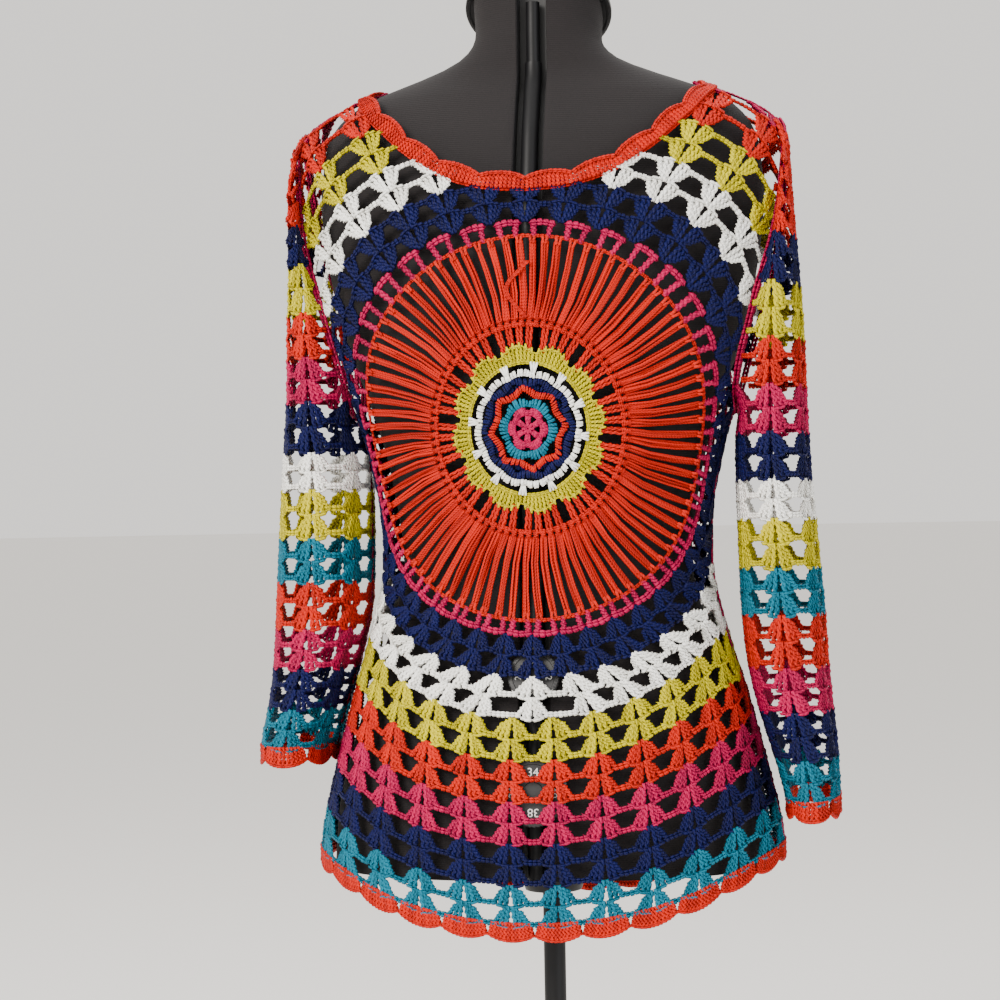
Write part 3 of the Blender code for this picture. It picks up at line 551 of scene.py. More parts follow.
def knit_cover():
    """Fine warp-knitted nylon over foam: matt, charcoal, with fine courses that run round the form."""
    made, tree, shader = new_material("charcoal_knit_cover", Roughness=0.88, Sheen_Weight=0.03,
                                      Sheen_Roughness=0.5, Specular_IOR_Level=0.3)
    body = add_node(tree, "ShaderNodeTexCoord")
    courses = add_node(tree, "ShaderNodeTexWave", {"Vector": body.outputs["Object"]}, bands_direction="Z",
                       Scale=math.tau / 20 / COURSE, Distortion=1.2, Detail=1, Detail_Scale=0.4)
    # Loops of about 1 mm, and the slow unevenness of cloth over foam, about 110 mm.
    speck = add_node(tree, "ShaderNodeTexNoise", {"Vector": body.outputs["Object"]}, Scale=900, Detail=3)
    cloud = add_node(tree, "ShaderNodeTexNoise", {"Vector": body.outputs["Object"]}, Scale=9, Detail=2)
    tone = add_node(tree, "ShaderNodeMath", {0: courses.outputs["Fac"], 1: 0.45, 2: speck.outputs[0]},
                    operation="MULTIPLY_ADD")
    factor = add_node(tree, "ShaderNodeMath", {0: cloud.outputs[0], 1: 0.4, 2: tone.outputs[0]},
                      operation="MULTIPLY_ADD")
    ramp = add_node(tree, "ShaderNodeMapRange", {"Value": factor.outputs[0]}, From_Min=0.45, From_Max=1.15)
    surface(tree, shader, ramp.outputs[0], "0D0B0C", "1B1718", tone.outputs[0], 0.4, 0.0004)
    return made


def moulded_black():
    """Black ABS, moulded with a fine spark-eroded grain of about 0.9 mm: satin, with soft highlights."""
    made, tree, shader = new_material("moulded_black_abs", IOR=1.54)
    body = add_node(tree, "ShaderNodeTexCoord")
    grain = add_node(tree, "ShaderNodeTexNoise", {"Vector": body.outputs["Object"]}, Scale=1100, Detail=2)
    ramp = add_node(tree, "ShaderNodeMapRange", {"Value": grain.outputs[0]}, To_Min=0.36, To_Max=0.52)
    tree.links.new(ramp.outputs[0], shader.inputs["Roughness"])
    surface(tree, shader, grain.outputs[0], "0F0F10", "1C1C1E", grain.outputs[0], 0.15, 0.0003)
    return made


def painted_steel():
    """Powder-coated steel: black, semi-gloss, with a faint orange peel of 3 mm that softens reflections."""
    made, tree, shader = new_material("powder_coated_black_steel", IOR=1.45, Specular_IOR_Level=0.25)
    body = add_node(tree, "ShaderNodeTexCoord")
    peel = add_node(tree, "ShaderNodeTexNoise", {"Vector": body.outputs["Object"]}, Scale=320, Detail=1)
    wear = add_node(tree, "ShaderNodeTexNoise", {"Vector": body.outputs["Object"]}, Scale=24, Detail=4)
    ramp = add_node(tree, "ShaderNodeMapRange", {"Value": wear.outputs[0]}, To_Min=0.38, To_Max=0.55)
    tree.links.new(ramp.outputs[0], shader.inputs["Roughness"])
    surface(tree, shader, wear.outputs[0], "0A0A0B", "141416", peel.outputs[0], 0.12, 0.0004)
    return made


def printed_ink():
    """White pad-printed ink: thin, a little uneven, with the 0.4 mm grain of what is under it."""
    made, tree, shader = new_material("printed_white_ink", Roughness=0.55)
    body = add_node(tree, "ShaderNodeTexCoord")
    cover = add_node(tree, "ShaderNodeTexNoise", {"Vector": body.outputs["Object"]}, Scale=2600, Detail=2)
    surface(tree, shader, cover.outputs[0], "D2D2CE", "F0F0EC")
    return made


COVER = knit_cover()
PLASTIC = moulded_black()
STEEL = painted_steel()
NUMBER_WHITE = printed_ink()


# ---- Stitches: each is made once, one unit wide, long and thick, and laid many times ----

def strand(path, radius, sides, slim):
    """A closed length of yarn that tapers to a point at each end: places, faces, each corner's turn and run,
    and the whole run. radius is (to the side, up) in stitch widths, and slim is length over width."""
    path = [Vector((x, y * slim, z)) for x, y, z in path]
    wide, tall = radius
    places = [path[0]]
    for i in range(1, len(path) - 1):
        tangent = (path[i + 1] - path[i - 1]).normalized()
        across = tangent.cross(Vector((0, 0, 1)))
        across = across.normalized() if across.length > 0.2 else Vector((1, 0, 0))
        deep = across.cross(tangent).normalized()
        for j in range(sides):
            turn = math.tau * (j + 0.5) / sides
            places.append(path[i] + across * math.cos(turn) * wide + deep * math.sin(turn) * tall)
    places.append(path[-1])
    places = [(x, y / slim, z) for x, y, z in places]
    run = [0.0]
    for a, b in zip(path, path[1:]):
        run.append(run[-1] + (b - a).length)
    last = len(places) - 1
    faces, corners = [], []
    for j in range(sides):
        k = (j + 1) % sides
        a, b = j / sides, (j + 1) / sides
        faces.append((0, 1 + k, 1 + j))
        corners.append(((a + b) / 2, run[0], b, run[1], a, run[1]))
        for i in range(len(path) - 3):
            low, high = 1 + i * sides, 1 + (i + 1) * sides
            faces.append((low + j, low + k, high + k, high + j))
            corners.append((a, run[i + 1], b, run[i + 1], b, run[i + 2], a, run[i + 2]))
        top = last - sides
        faces.append((top + j, top + k, last))
        corners.append((a, run[-2], b, run[-2], (a + b) / 2, run[-1]))
    return places, faces, corners, run[-1]


def stitch(name, strands, width, length):
    """A stitch of several strands, of a usual width and length. "yarn" holds each corner's turn round its
    strand and its run in centimetres; "flat" lays the strands side by side in a square."""
    places, faces, yarn, flat = [], [], [], []
    for index, (path, radius, sides) in enumerate(strands):
        points, polygons, corners, run = strand(path, radius, sides, length / width)
        start = len(places)
        places += points
        faces += [tuple(start + i for i in polygon) for polygon in polygons]
        for corner in corners:
            for turn, along in zip(corner[::2], corner[1::2]):
                yarn.append((turn, along * width * 100))
                flat.append(((index + 0.04 + 0.92 * turn) / len(strands), 0.03 + 0.94 * along / run))
    mesh = bpy.data.meshes.new(name)
    mesh.from_pydata(places, [], faces)
    for layer, values in (("yarn", yarn), ("flat", flat)):
        mesh.uv_layers.new(name=layer).data.foreach_set("uv", np.array(values, np.float32).ravel())
    mesh.shade_smooth()
    bm = bmesh.new()
    bm.from_mesh(mesh)
    bmesh.ops.recalc_face_normals(bm, faces=bm.faces)
    bm.to_mesh(mesh)
    bm.free()
    thing = bpy.data.objects.new(name, mesh)
    bpy.context.scene.collection.objects.link(thing)
    return thing


def post_strand(start, turns=2.0, spread=0.21, rings=7):
    """One of the strands of a post, which turns round the post's middle on its way up."""
    path = []
    for share in (0.01, *np.linspace(0.06, 0.94, rings), 0.99):
        turn = math.tau * (start + turns * share)
        path.append((spread * math.cos(turn), share, spread * math.sin(turn)))
    return path


STITCHES = {
    # A double crochet: two strands that turn round each other, and the loop that crosses its head.
    "double": stitch("double_crochet", [
        (post_strand(0.05), (0.28, 0.24), 3),
        (post_strand(0.55), (0.28, 0.24), 3),
        ([(-0.64, 0.92, 0.0), (-0.28, 0.97, 0.22), (0.28, 0.98, 0.22), (0.64, 0.94, 0.0)], (0.27, 0.27), 3)],
        0.0045, 0.0145),
    # A chain: two loops that lean apart, each link over the foot of the next.
    "chain": stitch("chain_link", [
        ([(-0.02, -0.25, -0.1), (-0.20, 0.2, 0.14), (-0.21, 0.8, 0.22), (-0.04, 1.30, 0.0)], (0.33, 0.31), 3),
        ([(0.02, -0.25, -0.1), (0.20, 0.2, 0.14), (0.21, 0.8, 0.22), (0.04, 1.30, 0.0)], (0.33, 0.31), 3)],
        0.0036, 0.0036),
    # One wrap of yarn over a padded ring.
    "wrap": stitch("wrapped_loop", [
        ([(0, -0.06, -0.35), (0, 0.1, 0.2), (0.04, 0.5, 0.42), (0, 0.9, 0.2), (0, 1.06, -0.35)],
         (0.5, 0.42), 4)], 0.0036, 0.0060),
    # A long plain loop of yarn, drawn up on a thick stick.
    "loop": stitch("drawn_loop", [
        ([(0, 0, 0), (0.1, 0.05, 0.25), (1.0, 0.34, 0.1), (0.7, 0.68, -0.1), (0, 0.97, 0.2), (0, 1, 0)],
         (0.5, 0.5), 4)], 0.0018, 0.0600),
    # A knot: a short fat turn of yarn.
    "knot": stitch("knot", [
        ([(0, -0.1, 0), (0, 0.02, 0.08), (0, 0.5, 0.16), (0, 0.98, 0.08), (0, 1.1, 0)], (0.5, 0.5), 4)],
        0.0030, 0.0040),
}


def stitch_tree():
    """Lays a stitch on every point, turned and sized by the point's own values, each a little uneven."""
    tree = bpy.data.node_groups.new("lay_stitches", "GeometryNodeTree")
    for name, kind in (("Points", "NodeSocketGeometry"), ("Stitch", "NodeSocketObject"),
                       ("Yarn", "NodeSocketMaterial"), ("Unevenness", "NodeSocketFloat"),
                       ("Seed", "NodeSocketInt")):
        tree.interface.new_socket(name, in_out="INPUT", socket_type=kind)
    tree.interface.new_socket("Cloth", in_out="OUTPUT", socket_type="NodeSocketGeometry")
    given = tree.nodes.new("NodeGroupInput").outputs
    size = add_node(tree, "GeometryNodeInputNamedAttribute", data_type="FLOAT_VECTOR", Name="size")
    turn = add_node(tree, "GeometryNodeInputNamedAttribute", data_type="QUATERNION", Name="turn")
    least = add_node(tree, "ShaderNodeMath", {0: 1, 1: given["Unevenness"]}, operation="SUBTRACT")
    most = add_node(tree, "ShaderNodeMath", {0: 1, 1: given["Unevenness"]}, operation="ADD")
    girth = add_node(tree, "FunctionNodeRandomValue", data_type="FLOAT",
                     inputs={2: least.outputs[0], 3: most.outputs[0], "Seed": given["Seed"]})
    even = add_node(tree, "ShaderNodeCombineXYZ", {"X": girth.outputs[1], "Y": 1, "Z": girth.outputs[1]})
    scale = add_node(tree, "ShaderNodeVectorMath", {0: size.outputs[0], 1: even.outputs[0]},
                     operation="MULTIPLY")
    source = add_node(tree, "GeometryNodeObjectInfo", {"Object": given["Stitch"]})
    laid = add_node(tree, "GeometryNodeInstanceOnPoints",
                    {"Points": given["Points"], "Instance": source.outputs["Geometry"],
                     "Rotation": turn.outputs[0], "Scale": scale.outputs[0]})
    real = add_node(tree, "GeometryNodeRealizeInstances", {"Geometry": laid.outputs[0]})
    dyed = add_node(tree, "GeometryNodeSetMaterial", {"Geometry": real.outputs[0], "Material": given["Yarn"]})
    end = tree.nodes.new("NodeGroupOutput")
    tree.links.new(dyed.outputs[0], end.inputs["Cloth"])
    return tree


LAY_STITCHES = stitch_tree()
INPUTS = {item.name: item.identifier for item in LAY_STITCHES.interface.items_tree
          if item.in_out == "INPUT"}
UNEVENNESS = 0.10
SHADES = 0.55                        # how far the stitches of one yarn differ in tone
SHORTEST = 0.0004                    # a stitch shorter than this is left out
Stitch = namedtuple("Stitch", "width thickness lift", defaults=[0.0])
Chain = namedtuple("Chain", "width link lift", defaults=[0.0])


def join(parts):
    """Join all the parts into the first."""
    with bpy.context.temp_override(active_object=parts[0], object=parts[0], selected_objects=parts,
                                   selected_editable_objects=parts):
        bpy.ops.object.join()


class Crochet:
    """The stitches of one piece, kept by stitch and yarn until the piece is made."""

    def __init__(self, name):
        self.name = name
        self.stitches = defaultdict(list)
        self.chance = np.random.default_rng(sum(map(ord, name)))

    def add(self, kind, yarn, foot, head, outward, width, thickness):
        """One stitch from its foot to its head, with its face turned outward."""
        along = head - foot
        length = along.length
        if length < SHORTEST:
            return
        along /= length
        deep = (outward - along * outward.dot(along)).normalized()
        turn = Matrix((along.cross(deep), along, deep)).transposed().to_quaternion()
        self.stitches[kind, yarn].append((tuple(foot), tuple(turn), (width, length, thickness)))

    def chain(self, yarn, spots, size):
        """Chain links along a line of spots, each a place and the way out of the cloth there."""
        path, outward = zip(*spots)
        run = [0.0]
        for a, b in zip(path, path[1:]):
            run.append(run[-1] + (b - a).length)
        count = max(1, round(run[-1] / size.link))
        at = np.linspace(0, run[-1], count + 1)

        def evenly(vectors):
            columns = np.array([tuple(vector) for vector in vectors]).T
            return [Vector(np.interp(a, run, column) for column in columns) for a in at]

        places = evenly(path)
        ways = [way.normalized() for way in evenly(outward)]
        for i in range(count):
            rise = ways[i] * size.lift
            self.add("chain", yarn, places[i] + rise, places[i + 1] + rise, ways[i],
                     size.width, size.width * 0.85)

    def make(self):
        """Lay all the stitches and join them into one mesh."""
        scene = bpy.context.scene.collection
        carriers = []
        cell = 0
        total = sum(len(rows) for rows in self.stitches.values())
        for (kind, yarn), rows in sorted(self.stitches.items()):
            mesh = bpy.data.meshes.new("stitch_points")
            mesh.from_pydata([row[0] for row in rows], [], [])
            turns = mesh.attributes.new("turn", "QUATERNION", "POINT")
            turns.data.foreach_set("value", np.array([row[1] for row in rows], np.float32).ravel())
            sizes = mesh.attributes.new("size", "FLOAT_VECTOR", "POINT")
            sizes.data.foreach_set("vector", np.array([row[2] for row in rows], np.float32).ravel())
            shade = mesh.attributes.new("shade", "FLOAT", "POINT")
            shade.data.foreach_set("value", self.chance.random(len(rows)).astype(np.float32) * SHADES)
            cells = mesh.attributes.new("cell", "FLOAT", "POINT")
            cells.data.foreach_set("value", np.arange(cell, cell + len(rows), dtype=np.float32))
            cell += len(rows)
            carrier = bpy.data.objects.new("stitch_carrier", mesh)
            scene.objects.link(carrier)
            layer = carrier.modifiers.new("stitches", "NODES")
            layer.node_group = LAY_STITCHES
            for name, value in (("Stitch", STITCHES[kind]), ("Yarn", YARNS[yarn]),
                                ("Unevenness", UNEVENNESS), ("Seed", cell)):
                layer[INPUTS[name]] = value
            carriers.append(carrier)
        graph = bpy.context.evaluated_depsgraph_get()
        parts = []
        for carrier in carriers:
            mesh = bpy.data.meshes.new_from_object(carrier.evaluated_get(graph), depsgraph=graph,
                                                   preserve_all_data_layers=True)
            part = bpy.data.objects.new(self.name, mesh)
            scene.objects.link(part)
            parts.append(part)
        for carrier in carriers:
            mesh = carrier.data
            bpy.data.objects.remove(carrier)
            bpy.data.meshes.remove(mesh)
        join(parts)
        made = parts[0]
        made.name = made.data.name = self.name
        self.lay_flat(made.data, total)
        return made

    def lay_flat(self, mesh, total):
        """Give every stitch a square of its own in the map that surface detail is stored by."""
        side = math.ceil(math.sqrt(total))
        corners = np.zeros(len(mesh.loops), np.int32)
        mesh.loops.foreach_get("vertex_index", corners)
        cells = np.zeros(len(mesh.vertices), np.float32)
        mesh.attributes["cell"].data.foreach_get("value", cells)
        flat = np.zeros(len(mesh.loops) * 2, np.float32)
        mesh.uv_layers["flat"].data.foreach_get("uv", flat)
        mine = np.rint(cells[corners])
        spots = (flat.reshape(-1, 2) + np.stack([mine % side, mine // side], axis=1)) / side
        layer = mesh.uv_layers.new(name="OFBake")
        layer.data.foreach_set("uv", spots.astype(np.float32).ravel())
        mesh.uv_layers.remove(mesh.uv_layers["flat"])
        mesh.attributes.remove(mesh.attributes["cell"])


# ---- Shell stitches ----

# Half a shell, from its middle out: how far to the side each stitch starts and ends, and how far its foot
# stands off the cloth, in millimetres, and how far down the round. The feet stand close together in a dome.
Fan = namedtuple("Fan", "foot foot_down foot_lift head head_down")
HALF_FAN = (
    Fan(1.1, -0.08, 0.98, 3.4, 1.04),
    Fan(3.2, 0.03, 0.56, 6.8, 0.98),
    Fan(5.2, 0.19, 0.16, 10.0, 0.80),
)
FULL_STEP = 0.0265                   # how far apart the columns lie where a shell is as wide as that
WIDEST = 1.2
SHELL_STITCH = Stitch(0.0054, 0.0042)
CUTS = (1.0, 0.9, 0.8, 0.7, 0.6, 0.5, 0.4)      # how much of a stitch can be left where a seam cuts it short
BAR = Chain(0.0048, 0.0037)
BAR_DOWN = 0.68                      # how far down the round the bars between the shells run
BAR_SAG = 0.08
BAR_OVERLAP = 0.9
SLEEVE_BAR_DOWN = 0.60
SLEEVE_BAR_SAG = 0.05


def fan_reach(step):
    """How wide the shells are drawn where the columns lie a step apart, as a share of a full one."""
    return min(WIDEST, step / FULL_STEP)


def fan_edge(step):
    """How far to the side a shell reaches, in column steps."""
    return HALF_FAN[-1].head * fan_reach(step) / 1000 / step * BAR_OVERLAP


def lerp(start, end, share):
    """The place a share of the way along."""
    return tuple(a + (b - a) * share for a, b in zip(start, end))


def shell(work, yarn, spot, step, holds):
    """Two groups of three double crochets that fan out from one hole, each cut short where it meets a seam.
    spot(side, down) gives a place and the way out of the cloth: side in column steps from the shell's middle,
    down in rounds."""
    reach = fan_reach(step)
    for way in (-1, 1):
        for fan in HALF_FAN:
            start = (way * fan.foot * reach / 1000 / step, fan.foot_down)
            full = (way * fan.head * reach / 1000 / step, fan.head_down)
            if not holds(*start):
                continue
            ends = (lerp(start, full, share) for share in CUTS)
            end = next((end for end in ends if holds(*end)), None)
            if end:
                foot, outward = spot(*start)
                head, _ = spot(*end)
                work.add("double", yarn, foot + outward * fan.foot_lift / 1000, head, outward,
                         SHELL_STITCH.width * (1 + reach) / 2, SHELL_STITCH.thickness)


def bar(work, yarn, spots):
    """A short chain between two shells, through (place, way out, whether it is on the cloth) spots."""
    kept = [(place, outward) for place, outward, held in spots if held]
    if len(kept) > 1:
        work.chain(yarn, kept, BAR)


PanelColumn = namedtuple("PanelColumn", "kind number sign")


def panel_columns(level):
    """The columns in order round the medallion, from the upper left by the top to the bottom."""
    columns = [PanelColumn("upper", j, 1) for j in range(-UPPER_COLUMNS, UPPER_COLUMNS + 1)]
    columns += [PanelColumn("lower", k, 1) for k in range(LOWER_COLUMNS, 0, -1)]
    if level < SPLIT_ROUND:
        columns.append(PanelColumn("lower", 0, 0))
    else:
        columns += [PanelColumn("lower", 0, 1), PanelColumn("lower", 0, -1)]
    columns += [PanelColumn("lower", k, -1) for k in range(1, LOWER_COLUMNS + 1)]
    return columns


def column_turn(column, side):
    """The angle from straight up of a place beside a column's middle, side column steps clockwise."""
    if column.kind == "upper":
        step = column.number + side
        past = max(abs(step) - UPPER_COLUMNS, 0)
        return math.copysign((abs(step) - past) * UPPER_COLUMN + past * LOWER_COLUMN, step)
    if column.sign == 0:
        return (1 if side < 0 else -1) * (math.pi - abs(side) * LOWER_COLUMN)
    away = -side if column.sign > 0 else side
    step = column.number + away
    if column.number == 0:
        step = float(np.interp(away, (-0.5, HOLE_SHARE - 0.5, 0.5 - HOLE_SHARE, 0.5),
                               (0, HEM_MIDDLE, 0.5 - HOLE_SHARE, 0.5)))
    return column.sign * (math.pi - step * LOWER_COLUMN)


def panel_spot(column, side, level, face):
    """A place beside a column's middle on a round, and the way straight out of the cloth."""
    return SKIN.spot(*panel_place(column_turn(column, side), level), face)


def column_step(column, level, face):
    """How wide a column is on a round."""
    near, _ = panel_spot(column, -0.25, level + 0.6, face)
    far, _ = panel_spot(column, 0.25, level + 0.6, face)
    return max((far - near).length * 2, 0.012)


def panel_rounds(name, face):
    """The shell rounds of one panel, out from the medallion until they leave its outline."""
    work = Crochet(name)
    for level in range(ROUNDS):
        yarn = PANEL_YARNS[level // 2]
        columns = panel_columns(level)
        for index, column in enumerate(columns):
            step = column_step(column, level, face)

            def spot(side, down):
                return panel_spot(column, side, level + down - SHELL_FOOT, face)

            def holds(side, down):
                place = panel_place(column_turn(column, side), level + down - SHELL_FOOT)
                return inside_panel(*place, SHELL_MARGIN)

            shell(work, yarn, spot, step, holds)
            following = columns[(index + 1) % len(columns)]
            steps = [(column, side) for side in np.linspace(fan_edge(step), 0.5, 4)]
            edge = fan_edge(column_step(following, level, face))
            steps += [(following, side) for side in np.linspace(-0.5, -edge, 4)[1:]]
            spots = []
            for beside, side in steps:
                place = panel_place(column_turn(beside, side), level + BAR_DOWN + BAR_SAG * abs(side))
                spots.append((*SKIN.spot(*place, face), inside_panel(*place, BAR_MARGIN)))
            bar(work, yarn, spots)
    return work


# ---- The medallion, by radius from its middle, in metres ----

PETALS = 6
PETAL_SHIFT = 0.55                   # how far the first petal's middle is turned, in petals
PETAL_RING = (0.0096, 0.0160)        # the small hole's edge, and the petal's tip
PETAL_ROUNDING = 0.0028              # how much nearer the middle a petal's corners lie
PETAL_HALF = math.radians(25)
PETAL_SIDE_RING, PETAL_SIDE_HALF = (0.0040, 0.0104), math.radians(23)
PETAL, PETAL_SIDE = Stitch(0.0034, 0.0042, 0.0014), Stitch(0.0036, 0.0038, 0.0008)
EYE_STITCHES = 8
EYE_RING = (0.0006, 0.0048)
EYE = Stitch(0.0030, 0.0036, 0.0010)

SCALLOPS = 12
# The padded rings are worked in arcs. inner and outer are the radii in the middle of an arc. At its ends they
# are further out by rise_inner and rise_outer, along a curve that the bend makes flatter in the middle.
Padded = namedtuple("Padded", "yarn arcs shift wraps inner outer rise_inner rise_outer bend thickness lift")
PADDED_RINGS = (
    Padded("teal", 6, 0.05, 8, 0.0158, 0.0228, 0.0, -0.0034, 2.0, 0.0044, 0.0012),
    Padded("orange", 8, 0.89, 12, 0.0222, 0.0272, 0.0048, 0.0048, 1.6, 0.0038, 0.0006),
    Padded("navy", 10, 0.50, 11, 0.0292, 0.0350, 0.0040, 0.0040, 2.0, 0.0038, 0.0),
    Padded("navy", 8, 0.0, 9, 0.0262, 0.0310, 0.0, 0.0, 2.0, 0.0020, -0.0014),
    Padded("white", SCALLOPS, 0.25, 8, 0.0376, 0.0424, -0.0014, -0.0026, 2.0, 0.0046, 0.0010),
)
WRAP_OVERLAP = 1.15
ARC_CROWN = 0.0004                   # how much higher the middle of an arc stands
TIE = Stitch(0.0024, 0.0024, 0.0018)
TIE_RING = (0.0398, 0.0470)
TIE_LEAN = 0.035
YELLOW_RING = (0.0462, 0.0515, 0.0592)      # feet, valleys and tips
YELLOW_HALF = math.tau / 26          # how far to each side of a scallop's middle its stitches stand
YELLOW_LEAN = math.radians(1.4)
YELLOW_BEND = 0.75                   # the lower, the fuller the scallops
YELLOW_DOUBLE, YELLOW_KNOT = Stitch(0.0042, 0.0036, 0.0004), Stitch(0.0017, 0.0020, 0.0010)
KNOT_FOOT, KNOT_HEAD = -0.0016, 0.0024      # from the rim of the yellow scallops
YELLOW_CHAIN = Chain(0.0032, 0.0032, 0.0008)
LEAF_FEET = ((-9.2, 0.0548), (-3.1, 0.0586), (3.1, 0.0586), (9.2, 0.0548))      # degrees from a tip, radius
LEAF_PAIR = 1.3                      # the two stitches of a leaf, to each side of its middle
LEAF_HEAD = 0.0750
LEAF = Stitch(0.0042, 0.0042, 0.0002)
LOOP_BUNDLES = 84
GATHER_RING = (0.0725, 0.0790)
GATHER = Stitch(0.0050, 0.0046, 0.0008)
LOOP_RING = (0.0768, 0.1392)
LOOP_FEET, LOOP_HEADS = 1.45, 0.72   # degrees to each side over which a bundle's loops start and end
LOOP_STRAY = 0.12                    # degrees
BUNDLE_STRAY = 0.0035
LOOP_ROLL = 1.6
LOOP = Stitch(0.0020, 0.0019)
KNOT_RING = (0.1354, 0.1411)
KNOT = Stitch(0.0028, 0.0034, 0.0010)
KNOT_CHAIN = Chain(0.0032, 0.0036, 0.0008)
TAIL = ((0.0015, 0.121), (-0.006, 0.113), (-0.0135, 0.105), (-0.0145, 0.097), (-0.009, 0.089), (0.000, 0.079))
TAIL_CHAIN = Chain(0.0024, 0.0030, 0.0032)
SQUARES = (0.1398, 0.1522)
SQUARE_HALF = 0.0066                 # from a square's middle to its legs
SQUARE_LEAN = 0.14                   # how much further apart the legs' heads are
SQUARE_BAR_REACH = 1.35
SQUARE_BAR_IN, SQUARE_BAR_CROWN = 0.0012, 0.0008
SQUARE_LEG = Stitch(0.0066, 0.0052, 0.0008)
SQUARE_BAR = Chain(0.0056, 0.0042, 0.0010)


def smooth(values, at):
    """A cubic through evenly spaced values."""
    i = min(int(at), len(values) - 2)
    t = at - i
    a, b, c, d = (values[min(max(k, 0), len(values) - 1)] for k in range(i - 1, i + 3))
    return b + t * (c - a) / 2 + t * t * (a - 2.5 * b + 2 * c - d / 2) + t**3 * (1.5 * (b - c) + (d - a) / 2)


def shares(count):
    """The middles of so many equal parts of the way from -1 to 1."""
    return [2 * (i + 0.5) / count - 1 for i in range(count)]


